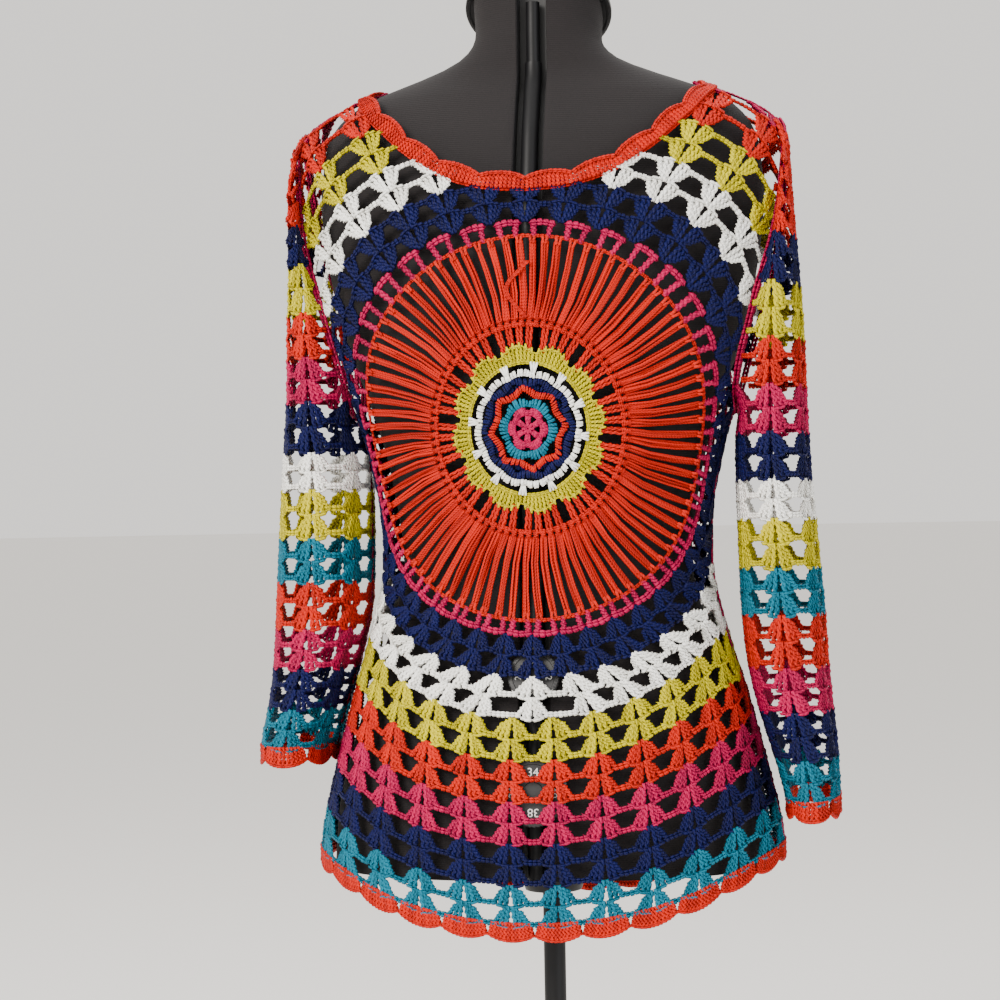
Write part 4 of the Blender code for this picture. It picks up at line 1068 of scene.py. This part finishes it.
class Medallion:
    """The round middle of a panel, worked outward ring by ring."""

    def __init__(self, name, face):
        self.work = Crochet(name)
        self.face = face
        self.flower()
        for ring in PADDED_RINGS:
            self.padded_ring(ring)
        self.ties()
        self.yellow_ring()
        self.leaves()
        self.long_loops()
        if face == BACK:
            self.loose_end()
        self.open_squares()

    def spot(self, turn, radius):
        return SKIN.spot(*medallion_place(turn, radius), self.face)

    def radial(self, kind, yarn, turn, inner, outer, size, lean=0.0):
        """One stitch that points straight out from the middle, or whose head leans by an angle."""
        foot, outward = self.spot(turn, inner)
        head, _ = self.spot(turn + lean, outer)
        rise = outward * size.lift
        self.work.add(kind, yarn, foot + rise, head + rise, outward, size.width, size.thickness)

    def ring_chain(self, yarn, centre, reach, radius_at, size, steps=13):
        """A chain round part of a ring, a reach to each side of a centre. radius_at takes -1 to 1."""
        spots = [self.spot(centre + share * reach, radius_at(share)) for share in np.linspace(-1, 1, steps)]
        self.work.chain(yarn, spots, size)

    def flower(self):
        """Six petals, each a fan round a small hole, and the ring in the middle."""
        hole, tip = PETAL_RING
        for petal in range(PETALS):
            centre = math.tau * (petal + PETAL_SHIFT) / PETALS
            for share in np.linspace(-1, 1, 7):
                outer = tip - PETAL_ROUNDING * share * share
                self.radial("wrap", "pink", centre + share * PETAL_HALF, hole, outer, PETAL)
            for side in (-1, 1):
                self.radial("wrap", "pink", centre + side * PETAL_SIDE_HALF, *PETAL_SIDE_RING, PETAL_SIDE)
        for turn in np.arange(EYE_STITCHES) * math.tau / EYE_STITCHES:
            self.radial("wrap", "pink", turn, *EYE_RING, EYE)

    def padded_ring(self, ring):
        """Arcs of wraps over a core."""
        for arc in range(ring.arcs):
            stray = self.work.chance.uniform(-0.0005, 0.0005)
            for share in shares(ring.wraps):
                turn = math.tau * (arc + ring.shift + (share + 1) / 2) / ring.arcs
                bend = abs(share) ** ring.bend
                inner = ring.inner + ring.rise_inner * bend + stray
                outer = ring.outer + ring.rise_outer * bend + stray
                width = math.tau * (inner + outer) / 2 / ring.arcs / ring.wraps * WRAP_OVERLAP
                size = Stitch(width, ring.thickness, ring.lift + ARC_CROWN * (1 - share * share))
                lean = self.work.chance.uniform(-0.03, 0.03)
                self.radial("wrap", ring.yarn, turn, inner, outer, size, lean)

    def ties(self):
        """Small ties hold the white ring inside the yellow one."""
        for i in range(SCALLOPS):
            turn = math.tau * (i + 0.25) / SCALLOPS
            for lean in (-TIE_LEAN, 0.0, TIE_LEAN):
                self.radial("knot", "white", turn + lean * 0.5, *TIE_RING, TIE, lean)

    def yellow_ring(self):
        """Twelve scallops of double crochets with a looped edge."""
        inner, valley, tip = YELLOW_RING

        def edge(share):
            return valley + (tip - valley) * math.cos(share * math.pi / 2) ** YELLOW_BEND

        for scallop in range(SCALLOPS):
            centre = math.tau * (scallop + 0.75) / SCALLOPS
            for share in shares(9):
                self.radial("double", "yellow", centre + share * YELLOW_HALF, inner, edge(share * 0.96),
                            YELLOW_DOUBLE, YELLOW_LEAN * share)
            self.ring_chain("yellow", centre, math.tau / 24, lambda share: inner + 0.0006, YELLOW_CHAIN)
            for share in shares(6):
                rim = edge(share * 0.92)
                for lean in (-0.013, 0.013):
                    self.radial("knot", "yellow", centre + share * math.tau / 25 + lean, rim + KNOT_FOOT,
                                rim + KNOT_HEAD, YELLOW_KNOT, -lean)

    def leaves(self):
        """Orange leaves stand on the scallops, with a long gap over each valley."""
        for scallop in range(SCALLOPS):
            centre = math.tau * (scallop + 0.75) / SCALLOPS
            for offset, foot in LEAF_FEET:
                for lean in (-LEAF_PAIR, LEAF_PAIR):
                    self.radial("double", "orange", centre + math.radians(offset + lean * 0.75), foot,
                                LEAF_HEAD, LEAF, math.radians(lean * 0.15 + offset * 0.10))

    def long_loops(self):
        """A thick ring of short loops, from which the long loops fan out in bundles to a ring of knots."""
        bundle = math.tau / LOOP_BUNDLES
        for i in range(LOOP_BUNDLES):
            for side in (-1, 1):
                self.radial("double", "orange", bundle * (i + 0.5 + side * 0.25), *GATHER_RING, GATHER,
                            -side * 0.02)
        chance = self.work.chance
        for i in range(LOOP_BUNDLES):
            turn = bundle * (i + 0.5) + chance.normal(0, BUNDLE_STRAY)
            gather = chance.uniform(0.85, 1.15)
            for share in np.linspace(-1, 1, 4):
                foot, outward = self.spot(turn + math.radians(LOOP_FEET) * share, LOOP_RING[0])
                strayed = math.radians(LOOP_HEADS * share * gather + chance.normal(0, LOOP_STRAY))
                head, _ = self.spot(turn + strayed, LOOP_RING[1])
                lift = outward * chance.uniform(0.0002, 0.0018)
                sideways = (head - foot).cross(outward).normalized()
                roll = outward + sideways * chance.uniform(-LOOP_ROLL, LOOP_ROLL)
                self.work.add("loop", "orange", foot + lift, head + lift, roll.normalized(),
                              LOOP.width, LOOP.thickness)
            for side in (-1, 1):
                self.radial("wrap", "orange", turn + side * 0.007, *KNOT_RING, KNOT, side * 0.006)
        for quarter in range(4):
            self.ring_chain("orange", math.tau * (quarter + 0.5) / 4, math.tau / 8,
                            lambda share: KNOT_RING[1], KNOT_CHAIN, 60)

    def loose_end(self):
        """The loose end of a yarn lies over the loops."""
        spots = []
        for mark in np.linspace(0, len(TAIL) - 1, 26):
            x, y = (smooth(column, mark) for column in zip(*TAIL))
            spots.append(self.spot(math.atan2(x, y), math.hypot(x, y)))
        for aside in (0.0, 0.0011):
            moved = [(place + Vector((aside, 0, 0)), outward) for place, outward in spots]
            self.work.chain("orange", moved, TAIL_CHAIN)

    def open_squares(self):
        """Open squares in pink: two legs and an outer bar each, up to the feet of the first shells."""
        turns = [UPPER_COLUMN * (i + 0.5) for i in range(-UPPER_COLUMNS, UPPER_COLUMNS)]
        for i in range(LOWER_COLUMNS + 1):
            turns += [sign * (math.pi - LOWER_COLUMN * (i + 0.5)) for sign in (1, -1)]
        half = SQUARE_HALF / SQUARES[1]
        for turn in turns:
            top = SQUARES[1] + round_radius(0, turn, 0.0) - ROUND_START
            for side in (-half, half):
                self.radial("double", "pink", turn + side * (1 - SQUARE_LEAN), SQUARES[0], top, SQUARE_LEG,
                            side * SQUARE_LEAN)

            def bar_radius(share):
                return top - SQUARE_BAR_IN + SQUARE_BAR_CROWN * math.cos(share * 2)

            self.ring_chain("pink", turn, half * SQUARE_BAR_REACH, bar_radius, SQUARE_BAR, 5)


# ---- The sleeves ----

def sleeve_rounds(name, sleeve):
    """The shells of a sleeve, which spread toward its cuff."""
    work = Crochet(name)
    for index, yarn in enumerate(SLEEVE_YARNS):
        rounds = 2 if index else sleeve.cap_rounds
        depth = (sleeve.bands[index] - sleeve.bands[index + 1]) / rounds
        for level in range(rounds):
            top = sleeve.bands[index] - level * depth
            middle = top - depth / 2
            for column in range(SLEEVE_COLUMNS):
                step = (sleeve.point(column + 0.4, middle) - sleeve.point(column, middle)).length / 0.4
                if step < SLEEVE_NARROWEST:
                    continue

                def spot(side, down):
                    return sleeve.spot(column + side, top - (down - SHELL_FOOT) * depth)

                def holds(side, down):
                    return sleeve.holds(column + side, top - (down - SHELL_FOOT) * depth)

                shell(work, yarn, spot, step, holds)
                edge = fan_edge(step)
                spots = []
                for side in np.linspace(edge, 1 - edge, 7):
                    down = SLEEVE_BAR_DOWN + SLEEVE_BAR_SAG * (1 - abs(2 * side - 1))
                    here = (column + side, top - down * depth)
                    spots.append((*sleeve.spot(*here), sleeve.holds(*here)))
                bar(work, yarn, spots)
    return work


# ---- Edgings and seams ----

def round_place(fraction):
    """Split a way round the garment, from the left side seam by the back, into (across, side)."""
    fraction %= 1.0
    if fraction < 0.5:
        return 4 * fraction - 1, BACK
    return 3 - 4 * fraction, FRONT


def hem_height(across):
    """The height of the last round's edge."""
    quarter = SKIN.quarter(MEDALLION_HEIGHT - ROUND_START - ROUNDS * ROUND_DEPTH)
    t = 0.0
    for _ in range(6):
        radius = round_radius(ROUNDS, math.pi, abs(across))
        t = -math.sqrt(max(radius**2 - (across * quarter)**2, 0.0))
        quarter = SKIN.quarter(MEDALLION_HEIGHT + t)
    return MEDALLION_HEIGHT + t


# An edging: how many fans, how many stitches in each, how close their feet are drawn together, how far off
# the cloth's edge the feet, the valleys and the tips lie, and how far they stand out of the cloth.
Edging = namedtuple("Edging", "fans stitches gather foot valley tip lift")
HEM_EDGING = Edging(2 * HEM_COLUMNS, 12, 0.82, -0.0056, 0.0034, 0.0088, 0.0006)
NECK_EDGING = Edging(24, 11, 1.0, -0.0042, 0.0038, 0.0088, 0.0020)
CUFF_EDGING = Edging(SLEEVE_COLUMNS, 11, 0.78, -0.0056, 0.0036, 0.0100, 0.0006)
EDGING_BEND = 0.6                    # the lower, the fuller the fans
EDGING_STITCH = Stitch(0.0056, 0.0042)
EDGING_CHAIN, EDGING_CHAIN_IN = Chain(0.0034, 0.0034), 0.0008
NECK_CHAIN, NECK_CHAIN_IN = Chain(0.0036, 0.0038, -0.0004), 0.004
# A side or shoulder seam is two chains, each this far off the line where the panels meet.
SIDE_SEAM, SIDE_SEAM_HALF = Chain(0.0032, 0.0036, 0.0004), 0.0018
SHOULDER_SEAM, SHOULDER_SEAM_HALF = Chain(0.0034, 0.0038, 0.0010), 0.0016
ARMHOLE_SEAM, ARMHOLE_EDGE = Chain(0.0048, 0.0040, 0.0012), Chain(0.0044, 0.0040, 0.0008)
ARMHOLE_EDGE_OUT = 0.003             # how far toward the sleeve the second chain lies
SLEEVE_SEAM = Chain(0.0036, 0.0036, 0.0006)
SLEEVE_SEAM_SHORT = 0.004            # how far under the armhole a sleeve's own seam ends


def scallops(name, size, base, outward):
    """An edging of solid fans. base(share) gives a place and the way out of the cloth, outward(share) the way
    off the edge."""
    work = Crochet(name)

    def edge(share):
        return size.valley + (size.tip - size.valley) * math.sin(math.pi * share) ** EDGING_BEND

    for fan in range(size.fans):
        for i in range(size.stitches):
            share = (i + 0.5) / size.stitches
            at = (fan + share) / size.fans
            foot, way = base((fan + 0.5 + (share - 0.5) * size.gather) / size.fans)
            head, _ = base(at)
            off = outward(at)
            rise = way * size.lift
            work.add("double", "orange", foot + off * size.foot + rise, head + off * edge(share) + rise * 0.5,
                     way, EDGING_STITCH.width, EDGING_STITCH.thickness)
        spots = []
        for share in np.linspace(0.02, 0.98, 15):
            at = (fan + share) / size.fans
            place, way = base(at)
            spots.append((place + outward(at) * (edge(share) - EDGING_CHAIN_IN) + way * size.lift, way))
        work.chain("orange", spots, EDGING_CHAIN)
    return work


def downward(_):
    """The way off the edge of the hem or a cuff."""
    return Vector((0, 0, -1))


def hem(name):
    """The scalloped edging round the hem, two fans to a column."""
    def base(share):
        across, side = round_place(share)
        return SKIN.spot(across, hem_height(across), side)

    return scallops(name, HEM_EDGING, base, downward)


def neckband(name):
    """The scalloped band round the neck, with its fans evenly spaced along the edge."""
    across = np.linspace(0, 1, 200)
    edge = [SKIN.point(u, neckline(u), BACK) for u in across]
    run = np.concatenate([[0], np.cumsum([(b - a).length for a, b in zip(edge, edge[1:])])])

    def base(share):
        u, side = round_place(share)
        u = math.copysign(float(np.interp(abs(u) * run[-1], run, across)), u)
        return SKIN.spot(u, neckline(u), side)

    def outward(share):
        _, way = base(share)
        ahead, _ = base(share + 0.002)
        behind, _ = base(share - 0.002)
        off = way.cross(ahead - behind).normalized()
        return off if off.z > 0 else -off

    work = scallops(name, NECK_EDGING, base, outward)
    spots = []
    for share in np.linspace(0, 1, 181):
        place, way = base(share)
        spots.append((place - outward(share) * NECK_CHAIN_IN, way))
    work.chain("orange", spots, NECK_CHAIN)
    return work


def cuff(name, sleeve):
    """The scalloped edging round a cuff, one fan to a column."""
    def base(share):
        return sleeve.spot(share * SLEEVE_COLUMNS - 0.5, sleeve.cuff)

    return scallops(name, CUFF_EDGING, base, downward)


def seams(name):
    """The fuchsia seams that join the panels at the sides and shoulders, and the sleeves to the armholes."""
    work = Crochet(name)

    def seam(spots, size, shift=(0, 0, 0)):
        work.chain("pink", [(place + Vector(shift), way) for place, way in spots], size)

    for way in (-1, 1):
        side_edge = [(SKIN.point(way, height, BACK), Vector((way, 0, 0)))
                     for height in np.linspace(hem_height(1.0), UNDERARM, 60)]
        for side in (BACK, FRONT):
            seam(side_edge, SIDE_SEAM, (0, side * SIDE_SEAM_HALF, 0))
        for side in (BACK, FRONT):
            armhole_edge = [SKIN.spot(way * armhole(height), height, side)
                            for height in np.linspace(UNDERARM, ARMHOLE[-1].height, 90)]
            seam(armhole_edge, ARMHOLE_SEAM)
            seam(armhole_edge, ARMHOLE_EDGE, (way * ARMHOLE_EDGE_OUT, 0, 0))
            shoulder = [(SKIN.point(way, height, side), Vector((0, 0, 1)))
                        for height in np.linspace(ARMHOLE[-1].height, NECKLINE[-1].height, 24)]
            seam(shoulder, SHOULDER_SEAM, (0, side * SHOULDER_SEAM_HALF, 0))
    for sleeve in SLEEVES.values():
        underarm = SLEEVE_COLUMNS / 2
        seam([(sleeve.point(underarm, height), Vector((-sleeve.direction, 0, 0)))
              for height in np.linspace(sleeve.cuff, UNDERARM - SLEEVE_SEAM_SHORT, 80)], SLEEVE_SEAM)
    return work


SLEEVES = {"left": Sleeve(LEFT_SLEEVE, -1, LEFT_BANDS, LEFT_CAP_ROUNDS),
           "right": Sleeve(RIGHT_SLEEVE, 1, RIGHT_BANDS, RIGHT_CAP_ROUNDS)}


# ---- The dress form ----

SLOT_HALF_WIDTH = 0.011
SLOT_DEPTH = 0.0165
SLOT_LIP = ((0, SLOT_DEPTH), (0, 0.0022), (0.0004, 0.0008), (0.0014, 0))     # across and in from the edge
RAIL_RADIUS = 0.0065
RAIL_CLEARANCE = 0.0011
RAIL_WALL = 0.0012
RAIL_END = 0.6155                    # where the wide tube of the rod ends, and the narrow one comes out of it
RAIL_OVERLAP = 0.0055
RAIL_TOP = 0.662
NECK_TILT = math.radians(28)
NECK_TILT_FROM = 0.613
NECK_CAP_RIM = 0.057
POLE_RADIUS = 0.0085
BASE_RADIUS = 0.160
BASE_THICKNESS = 0.010
HUB_RADIUS = 0.022
HUB_HEIGHT = 0.030
COLLAR_HEIGHT = 0.022
FLARE = 0.006                        # how much wider the hub's and the collar's tops are
STAND_GAP = 0.0003                   # between two parts of the stand
SMALL_EDGE = 0.0012                  # how far a turned part's edges are cut back

# A dial's section, as shares of its radius and its thickness from the middle of its back round to its face.
DIAL_THICKNESS = 0.005
DIAL_FACE = 0.38
DIAL_SECTION = ((0.90, -0.5), (0.985, -0.36), (0.985, 0.36), (0.93, 0.5), (0.80, 0.5), (0.78, DIAL_FACE),
                (0.30, DIAL_FACE), (0.28, 0.5))
DIAL_GROOVE = 0.018
DIAL_TEETH = 48
NUMBER_SIZE, NUMBER_RING = 0.34, 0.56       # shares of the radius
NUMBER_DEPTH = 0.00012


def finish_mesh(name, bm, *looks):
    """A smooth piece with sharp corners, in one or more materials."""
    mesh = bpy.data.meshes.new(name)
    bm.to_mesh(mesh)
    bm.free()
    for look in looks:
        mesh.materials.append(look)
    thing = bpy.data.objects.new(name, mesh)
    bpy.context.scene.collection.objects.link(thing)
    mesh.shade_smooth()
    mesh.set_sharp_from_angle(angle=math.radians(38))
    return thing


def neck_fall(height):
    """How steeply the section at a height falls toward the front."""
    top = FORM[-1].height
    return math.tan(NECK_TILT) * min(max((height - NECK_TILT_FROM) / (top - NECK_TILT_FROM), 0.0), 1.0)


def form_section(height, steps=26):
    """The form's outline at a height. The cover turns in over the slot's two edges."""
    quarter = FORM_SKIN.quarter(height)
    slot = SLOT_HALF_WIDTH / quarter
    across = [slot + (1 - slot) * i / steps for i in range(steps + 1)]
    back = [FORM_SKIN.point(u, height, BACK) for u in across]
    front = [FORM_SKIN.point(u, height, FRONT) for u in np.linspace(1, 0, steps + 1)[1:]]
    back[-1].y = 0.0
    edge = back[0]
    right = [*(edge + Vector((*step, 0)) for step in SLOT_LIP), *back[1:], *front]
    fall = neck_fall(height)
    right = [Vector((p.x, p.y, p.z - fall * (p.y - edge.y))) for p in right]
    return right + [Vector((-p.x, p.y, p.z)) for p in reversed(right[:-1])]


def dress_form():
    """The knitted cover, with the plastic of the slot down its back."""
    bm = bmesh.new()
    heights = sorted(set(np.linspace(0, FORM[-1].height, 90)) | {row.height for row in FORM})
    rings = [[bm.verts.new(place) for place in form_section(height)] for height in heights]
    count = len(rings[0])
    slot = (0, 1, count - 3, count - 2, count - 1)
    for low, high in zip(rings, rings[1:]):
        for i in range(count):
            after = (i + 1) % count
            face = bm.faces.new((low[i], low[after], high[after], high[i]))
            face.material_index = 1 if i in slot else 0
    for ring in (rings[0], rings[-1]):
        bm.faces.new(ring)
    bmesh.ops.recalc_face_normals(bm, faces=bm.faces)
    return finish_mesh("form_cover", bm, COVER, PLASTIC)


def tube_along(bm, path, radii, sides=20):
    """A round rod along a path in the plane x = 0, with a radius at each place."""
    rings = []
    for i, (place, radius) in enumerate(zip(path, radii)):
        tangent = (path[min(i + 1, len(path) - 1)] - path[max(i - 1, 0)]).normalized()
        across = Vector((1, 0, 0))
        deep = across.cross(tangent).normalized()
        rings.append([bm.verts.new(place + (across * math.cos(a) + deep * math.sin(a)) * radius)
                      for a in np.linspace(0, math.tau, sides, endpoint=False)])
    for low, high in zip(rings, rings[1:]):
        for i in range(sides):
            bm.faces.new((low[i], low[(i + 1) % sides], high[(i + 1) % sides], high[i]))
    bm.faces.new(rings[0])
    bm.faces.new(rings[-1])


def slot_rail():
    """The rod in the slot: a wide tube, and the narrower one that slides up out of it into the neck."""
    bm = bmesh.new()

    def at(height):
        lip = FORM_SKIN.point(SLOT_HALF_WIDTH / FORM_SKIN.quarter(height), height, BACK)
        return Vector((0, lip.y + SLOT_DEPTH - RAIL_RADIUS - RAIL_CLEARANCE, lip.z))

    lower = [*np.linspace(0, RAIL_END - 0.001, 60), RAIL_END]
    tube_along(bm, [at(h) for h in lower], [RAIL_RADIUS] * (len(lower) - 1) + [RAIL_RADIUS - 0.0007])
    upper = np.linspace(RAIL_END - RAIL_OVERLAP, RAIL_TOP, 10)
    tube_along(bm, [at(h) for h in upper], [RAIL_RADIUS - RAIL_WALL] * len(upper))
    bmesh.ops.recalc_face_normals(bm, faces=bm.faces)
    return finish_mesh("setting_rod", bm, STEEL)


def turned(name, profile, look, steps):
    """A solid of revolution from (radius, height) points, top to bottom, with its edges cut back."""
    bm = bmesh.new()
    corners = [Vector((r, 0, z)) for r, z in profile]
    path = [corners[0]]
    for a, b, c in zip(corners, corners[1:], corners[2:]):
        cut = min(SMALL_EDGE, (a - b).length / 3, (c - b).length / 3)
        start, end = b + (a - b).normalized() * cut, b + (c - b).normalized() * cut
        path += [start, (start + end + b * 2) / 4, end]
    path.append(corners[-1])
    verts = [bm.verts.new(p) for p in path]
    for a, b in zip(verts, verts[1:]):
        bm.edges.new((a, b))
    bmesh.ops.spin(bm, geom=[*bm.verts, *bm.edges], cent=(0, 0, 0), axis=(0, 0, 1), angle=math.tau,
                   steps=steps, use_merge=True)
    bmesh.ops.remove_doubles(bm, verts=bm.verts, dist=0.00002)
    bmesh.ops.recalc_face_normals(bm, faces=bm.faces)
    return finish_mesh(name, bm, look)


def place_mesh(thing, matrix):
    """Move a piece by its mesh."""
    thing.data.transform(matrix)
    thing.data.update()
    return thing


def neck_cap():
    """The tilted lid on the neck."""
    rim = NECK_CAP_RIM
    section = ((0, 0.020), (rim * 0.5, 0.017), (rim * 0.92, 0.009), (rim, 0.004), (rim, 0), (rim - 0.003, 0),
               (rim - 0.004, 0.0006), (0, 0.0006))
    top = FORM[-1].height
    lip = FORM_SKIN.point(SLOT_HALF_WIDTH / FORM_SKIN.quarter(top), top, BACK)
    outward = Vector((0, math.sin(NECK_TILT), math.cos(NECK_TILT)))
    spot = Vector((0, 0, lip.z + lip.y * math.tan(NECK_TILT))) + outward * STAND_GAP
    return place_mesh(turned("neck_cap_lid", section, PLASTIC, 96),
                      Matrix.Translation(spot) @ Matrix.Rotation(-NECK_TILT, 4, "X"))


def wheel_face(name, radius):
    """A setting wheel that lies flat: a rim with fine grooves, and a raised hub."""
    bm = bmesh.new()
    count = DIAL_TEETH * 4
    rings = []
    for across, level in DIAL_SECTION:
        ring = []
        for i in range(count):
            grooved = i % 4 > 1 and across > 0.95
            reach = radius * across * (1 - DIAL_GROOVE * grooved)
            turn = math.tau * i / count
            place = (reach * math.cos(turn), reach * math.sin(turn), level * DIAL_THICKNESS)
            ring.append(bm.verts.new(place))
        rings.append(ring)
    for inner, outer in zip(rings, rings[1:]):
        for i in range(count):
            bm.faces.new((inner[i], inner[(i + 1) % count], outer[(i + 1) % count], outer[i]))
    bm.faces.new(rings[0])
    bm.faces.new(rings[-1])
    bmesh.ops.recalc_face_normals(bm, faces=bm.faces)
    return finish_mesh(name, bm, PLASTIC, NUMBER_WHITE)


def number_mark(number, turn, radius):
    """A number printed on a wheel's face, its foot toward the middle."""
    text = bpy.data.curves.new("number", "FONT")
    text.body = str(number)
    text.size = radius * NUMBER_SIZE
    text.align_x = "CENTER"
    text.align_y = "CENTER"
    text.extrude = NUMBER_DEPTH
    holder = bpy.data.objects.new("number", text)
    bpy.context.scene.collection.objects.link(holder)
    graph = bpy.context.evaluated_depsgraph_get()
    mesh = bpy.data.meshes.new_from_object(holder.evaluated_get(graph))
    bpy.data.objects.remove(holder)
    spot = Vector((math.cos(turn), math.sin(turn), 0)) * radius * NUMBER_RING
    spot.z = DIAL_FACE * DIAL_THICKNESS + 0.0002
    mesh.transform(Matrix.Translation(spot) @ Matrix.Rotation(turn - math.pi / 2, 4, "Z"))
    mesh.materials.clear()
    mesh.materials.append(NUMBER_WHITE)
    mark = bpy.data.objects.new("number", mesh)
    bpy.context.scene.collection.objects.link(mark)
    return mark


def dial(name, height, radius, numbers):
    """A setting wheel on the slot's lips, with plain numbers printed round it."""
    quarter = FORM_SKIN.quarter(height)
    low, high = (FORM_SKIN.point(SLOT_HALF_WIDTH / quarter, height + step, BACK) for step in (-0.02, 0.02))
    slope = math.atan2(high.y - low.y, high.z - low.z)
    middle = (low + high) / 2
    outward = Vector((0, -math.cos(slope), math.sin(slope)))
    place = Vector((0, middle.y, middle.z)) + outward * (DIAL_THICKNESS / 2 + 0.0010)
    wheel = wheel_face(name, radius)
    parts = [wheel]
    for i, number in enumerate(numbers):
        parts.append(number_mark(number, math.tau * i / len(numbers) + math.pi / 2, radius))
    join(parts)
    return place_mesh(wheel, Matrix.Translation(place) @ Matrix.Rotation(math.pi / 2 - slope, 4, "X"))


def seat(thing, finish, *nodes):
    """A piece takes the place of the nodes it stands for. finish is not used."""
    if nodes:
        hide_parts(*nodes)
    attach(thing, "root")
    return thing


def stand():
    """The base, its hub, the collar under the form, and the pole between them."""
    base, hub, collar = BASE_THICKNESS, BASE_THICKNESS + STAND_GAP, FORM_BOTTOM - STAND_GAP
    hub_top, collar_foot = hub + HUB_HEIGHT, collar - COLLAR_HEIGHT
    low, high = hub_top + STAND_GAP, collar_foot - STAND_GAP
    for name, node, steps, section in (
            ("stand_base", "base", 128, ((0, base), (BASE_RADIUS - 0.006, base), (BASE_RADIUS, base - 0.004),
                                         (BASE_RADIUS, 0.001), (BASE_RADIUS - 0.001, 0), (0, 0))),
            ("stand_hub", "pole_hub", 96, ((0, hub_top), (POLE_RADIUS + FLARE, hub_top),
                                           (HUB_RADIUS, hub + 0.006), (HUB_RADIUS, hub), (0, hub))),
            ("stand_collar", "form_collar", 96, ((0, collar), (HUB_RADIUS + FLARE, collar),
                                                 (HUB_RADIUS, collar_foot), (0, collar_foot))),
            ("stand_pole", "pole", 48, ((0, high), (POLE_RADIUS, high), (POLE_RADIUS, low), (0, low)))):
        seat(turned(name, section, STEEL, steps), "black_painted_steel", node)


# ---- Make every piece ----

cover = seat(dress_form(), "charcoal_knit_cover", "dress_form")
seat(slot_rail(), "black_painted_steel", "slot_rail")
seat(neck_cap(), "black_plastic", "neck_cap")
seat(dial("waist_setting_wheel", 0.150, 0.020, (26, 28, 30, 32)), "black_plastic", "waist_dial")
seat(dial("hip_setting_wheel", 0.066, 0.026, (34, 36, 38, 40)), "black_plastic", "hip_dial")
stand()

# The flat cuts: each panel is 489 mm wide at its widest and 633 mm long, with its neckline and armholes cut
# away, and a sleeve is a tube, cut open, that is shaped at its top.
SLEEVE_CUTS = {"left": ((0.309, 0.466), 0.1146), "right": ((0.298, 0.508), 0.1252)}

edges = [seat(neckband("neck_scallops").make(), "orange_cotton", "neckband"),
         seat(hem("hem_scallops").make(), "orange_cotton", "hem_edging"),
         seat(seams("fuchsia_seams").make(), "orange_cotton")]
for word, face in (("back", BACK), ("front", FRONT)):
    rounds = seat(panel_rounds(f"{word}_shell_rounds", face).make(), "navy_cotton", f"{word}_panel")
    middle = seat(Medallion(f"{word}_medallion", face).work.make(), "orange_cotton")
    edges = []
for word, sleeve in SLEEVES.items():
    halves = [f"{word}_sleeve_{side}_{part}" for side in ("back", "front") for part in ("arm", "cap")]
    cloth = seat(sleeve_rounds(f"{word}_sleeve", sleeve).make(), "navy_cotton", *halves)
    edge = seat(cuff(f"{word}_cuff_scallops", sleeve).make(), "orange_cotton", f"{word}_cuff_edging")
    cut, area = SLEEVE_CUTS[word]

for source in STITCHES.values():
    bpy.data.objects.remove(source)

# ---- Floor, light and camera ----

floor_mesh = bmesh.new()
bmesh.ops.create_circle(floor_mesh, cap_ends=True, segments=96, radius=60)
studio_floor = new_material("studio_floor", Base_Color=linear("EFEDEA"), Roughness=0.9)[0]
floor = finish_mesh("floor", floor_mesh, studio_floor)


def area_light(name, place, target, width, height, power, colour="FFFFFF"):
    light = bpy.data.lights.new(name, "AREA")
    light.shape = "RECTANGLE"
    light.size = width
    light.size_y = height
    light.energy = power
    light.color = linear(colour)[:3]
    lamp = bpy.data.objects.new(name, light)
    lamp.location = place
    lamp.rotation_euler = (Vector(target) - Vector(place)).to_track_quat("-Z", "Y").to_euler()
    bpy.context.scene.collection.objects.link(lamp)


area_light("key", (-1.6, -2.6, 2.4), (0, 0, 0.7), 1.6, 1.6, 180, "FFFAF4")
area_light("fill", (2.4, -2.0, 1.4), (0, 0, 0.7), 2.0, 2.0, 40, "F6F8FF")
area_light("top", (0.0, 0.6, 3.2), (0, 0, 0.6), 2.0, 2.0, 46)

world = bpy.data.worlds.new("studio")
world.use_nodes = True
world.node_tree.nodes["Background"].inputs["Color"].default_value = linear("CCC9C5")
world.node_tree.nodes["Background"].inputs["Strength"].default_value = 2.0
bpy.context.scene.world = world

camera_data = bpy.data.cameras.new("camera")
camera_data.lens = 90
camera_data.sensor_width = 36
camera_data.shift_x = -0.047
camera_data.dof.use_dof = False
camera = bpy.data.objects.new("camera", camera_data)
camera.location = (0.2376, -1.935, 0.701)
facing = Vector((-camera.location.x, -camera.location.y, 0)).to_track_quat("-Z", "Y")
camera.rotation_euler = (facing.to_matrix() @ Matrix.Rotation(math.radians(-1.0), 3, "Z")).to_euler()
bpy.context.scene.collection.objects.link(camera)
bpy.context.scene.camera = camera
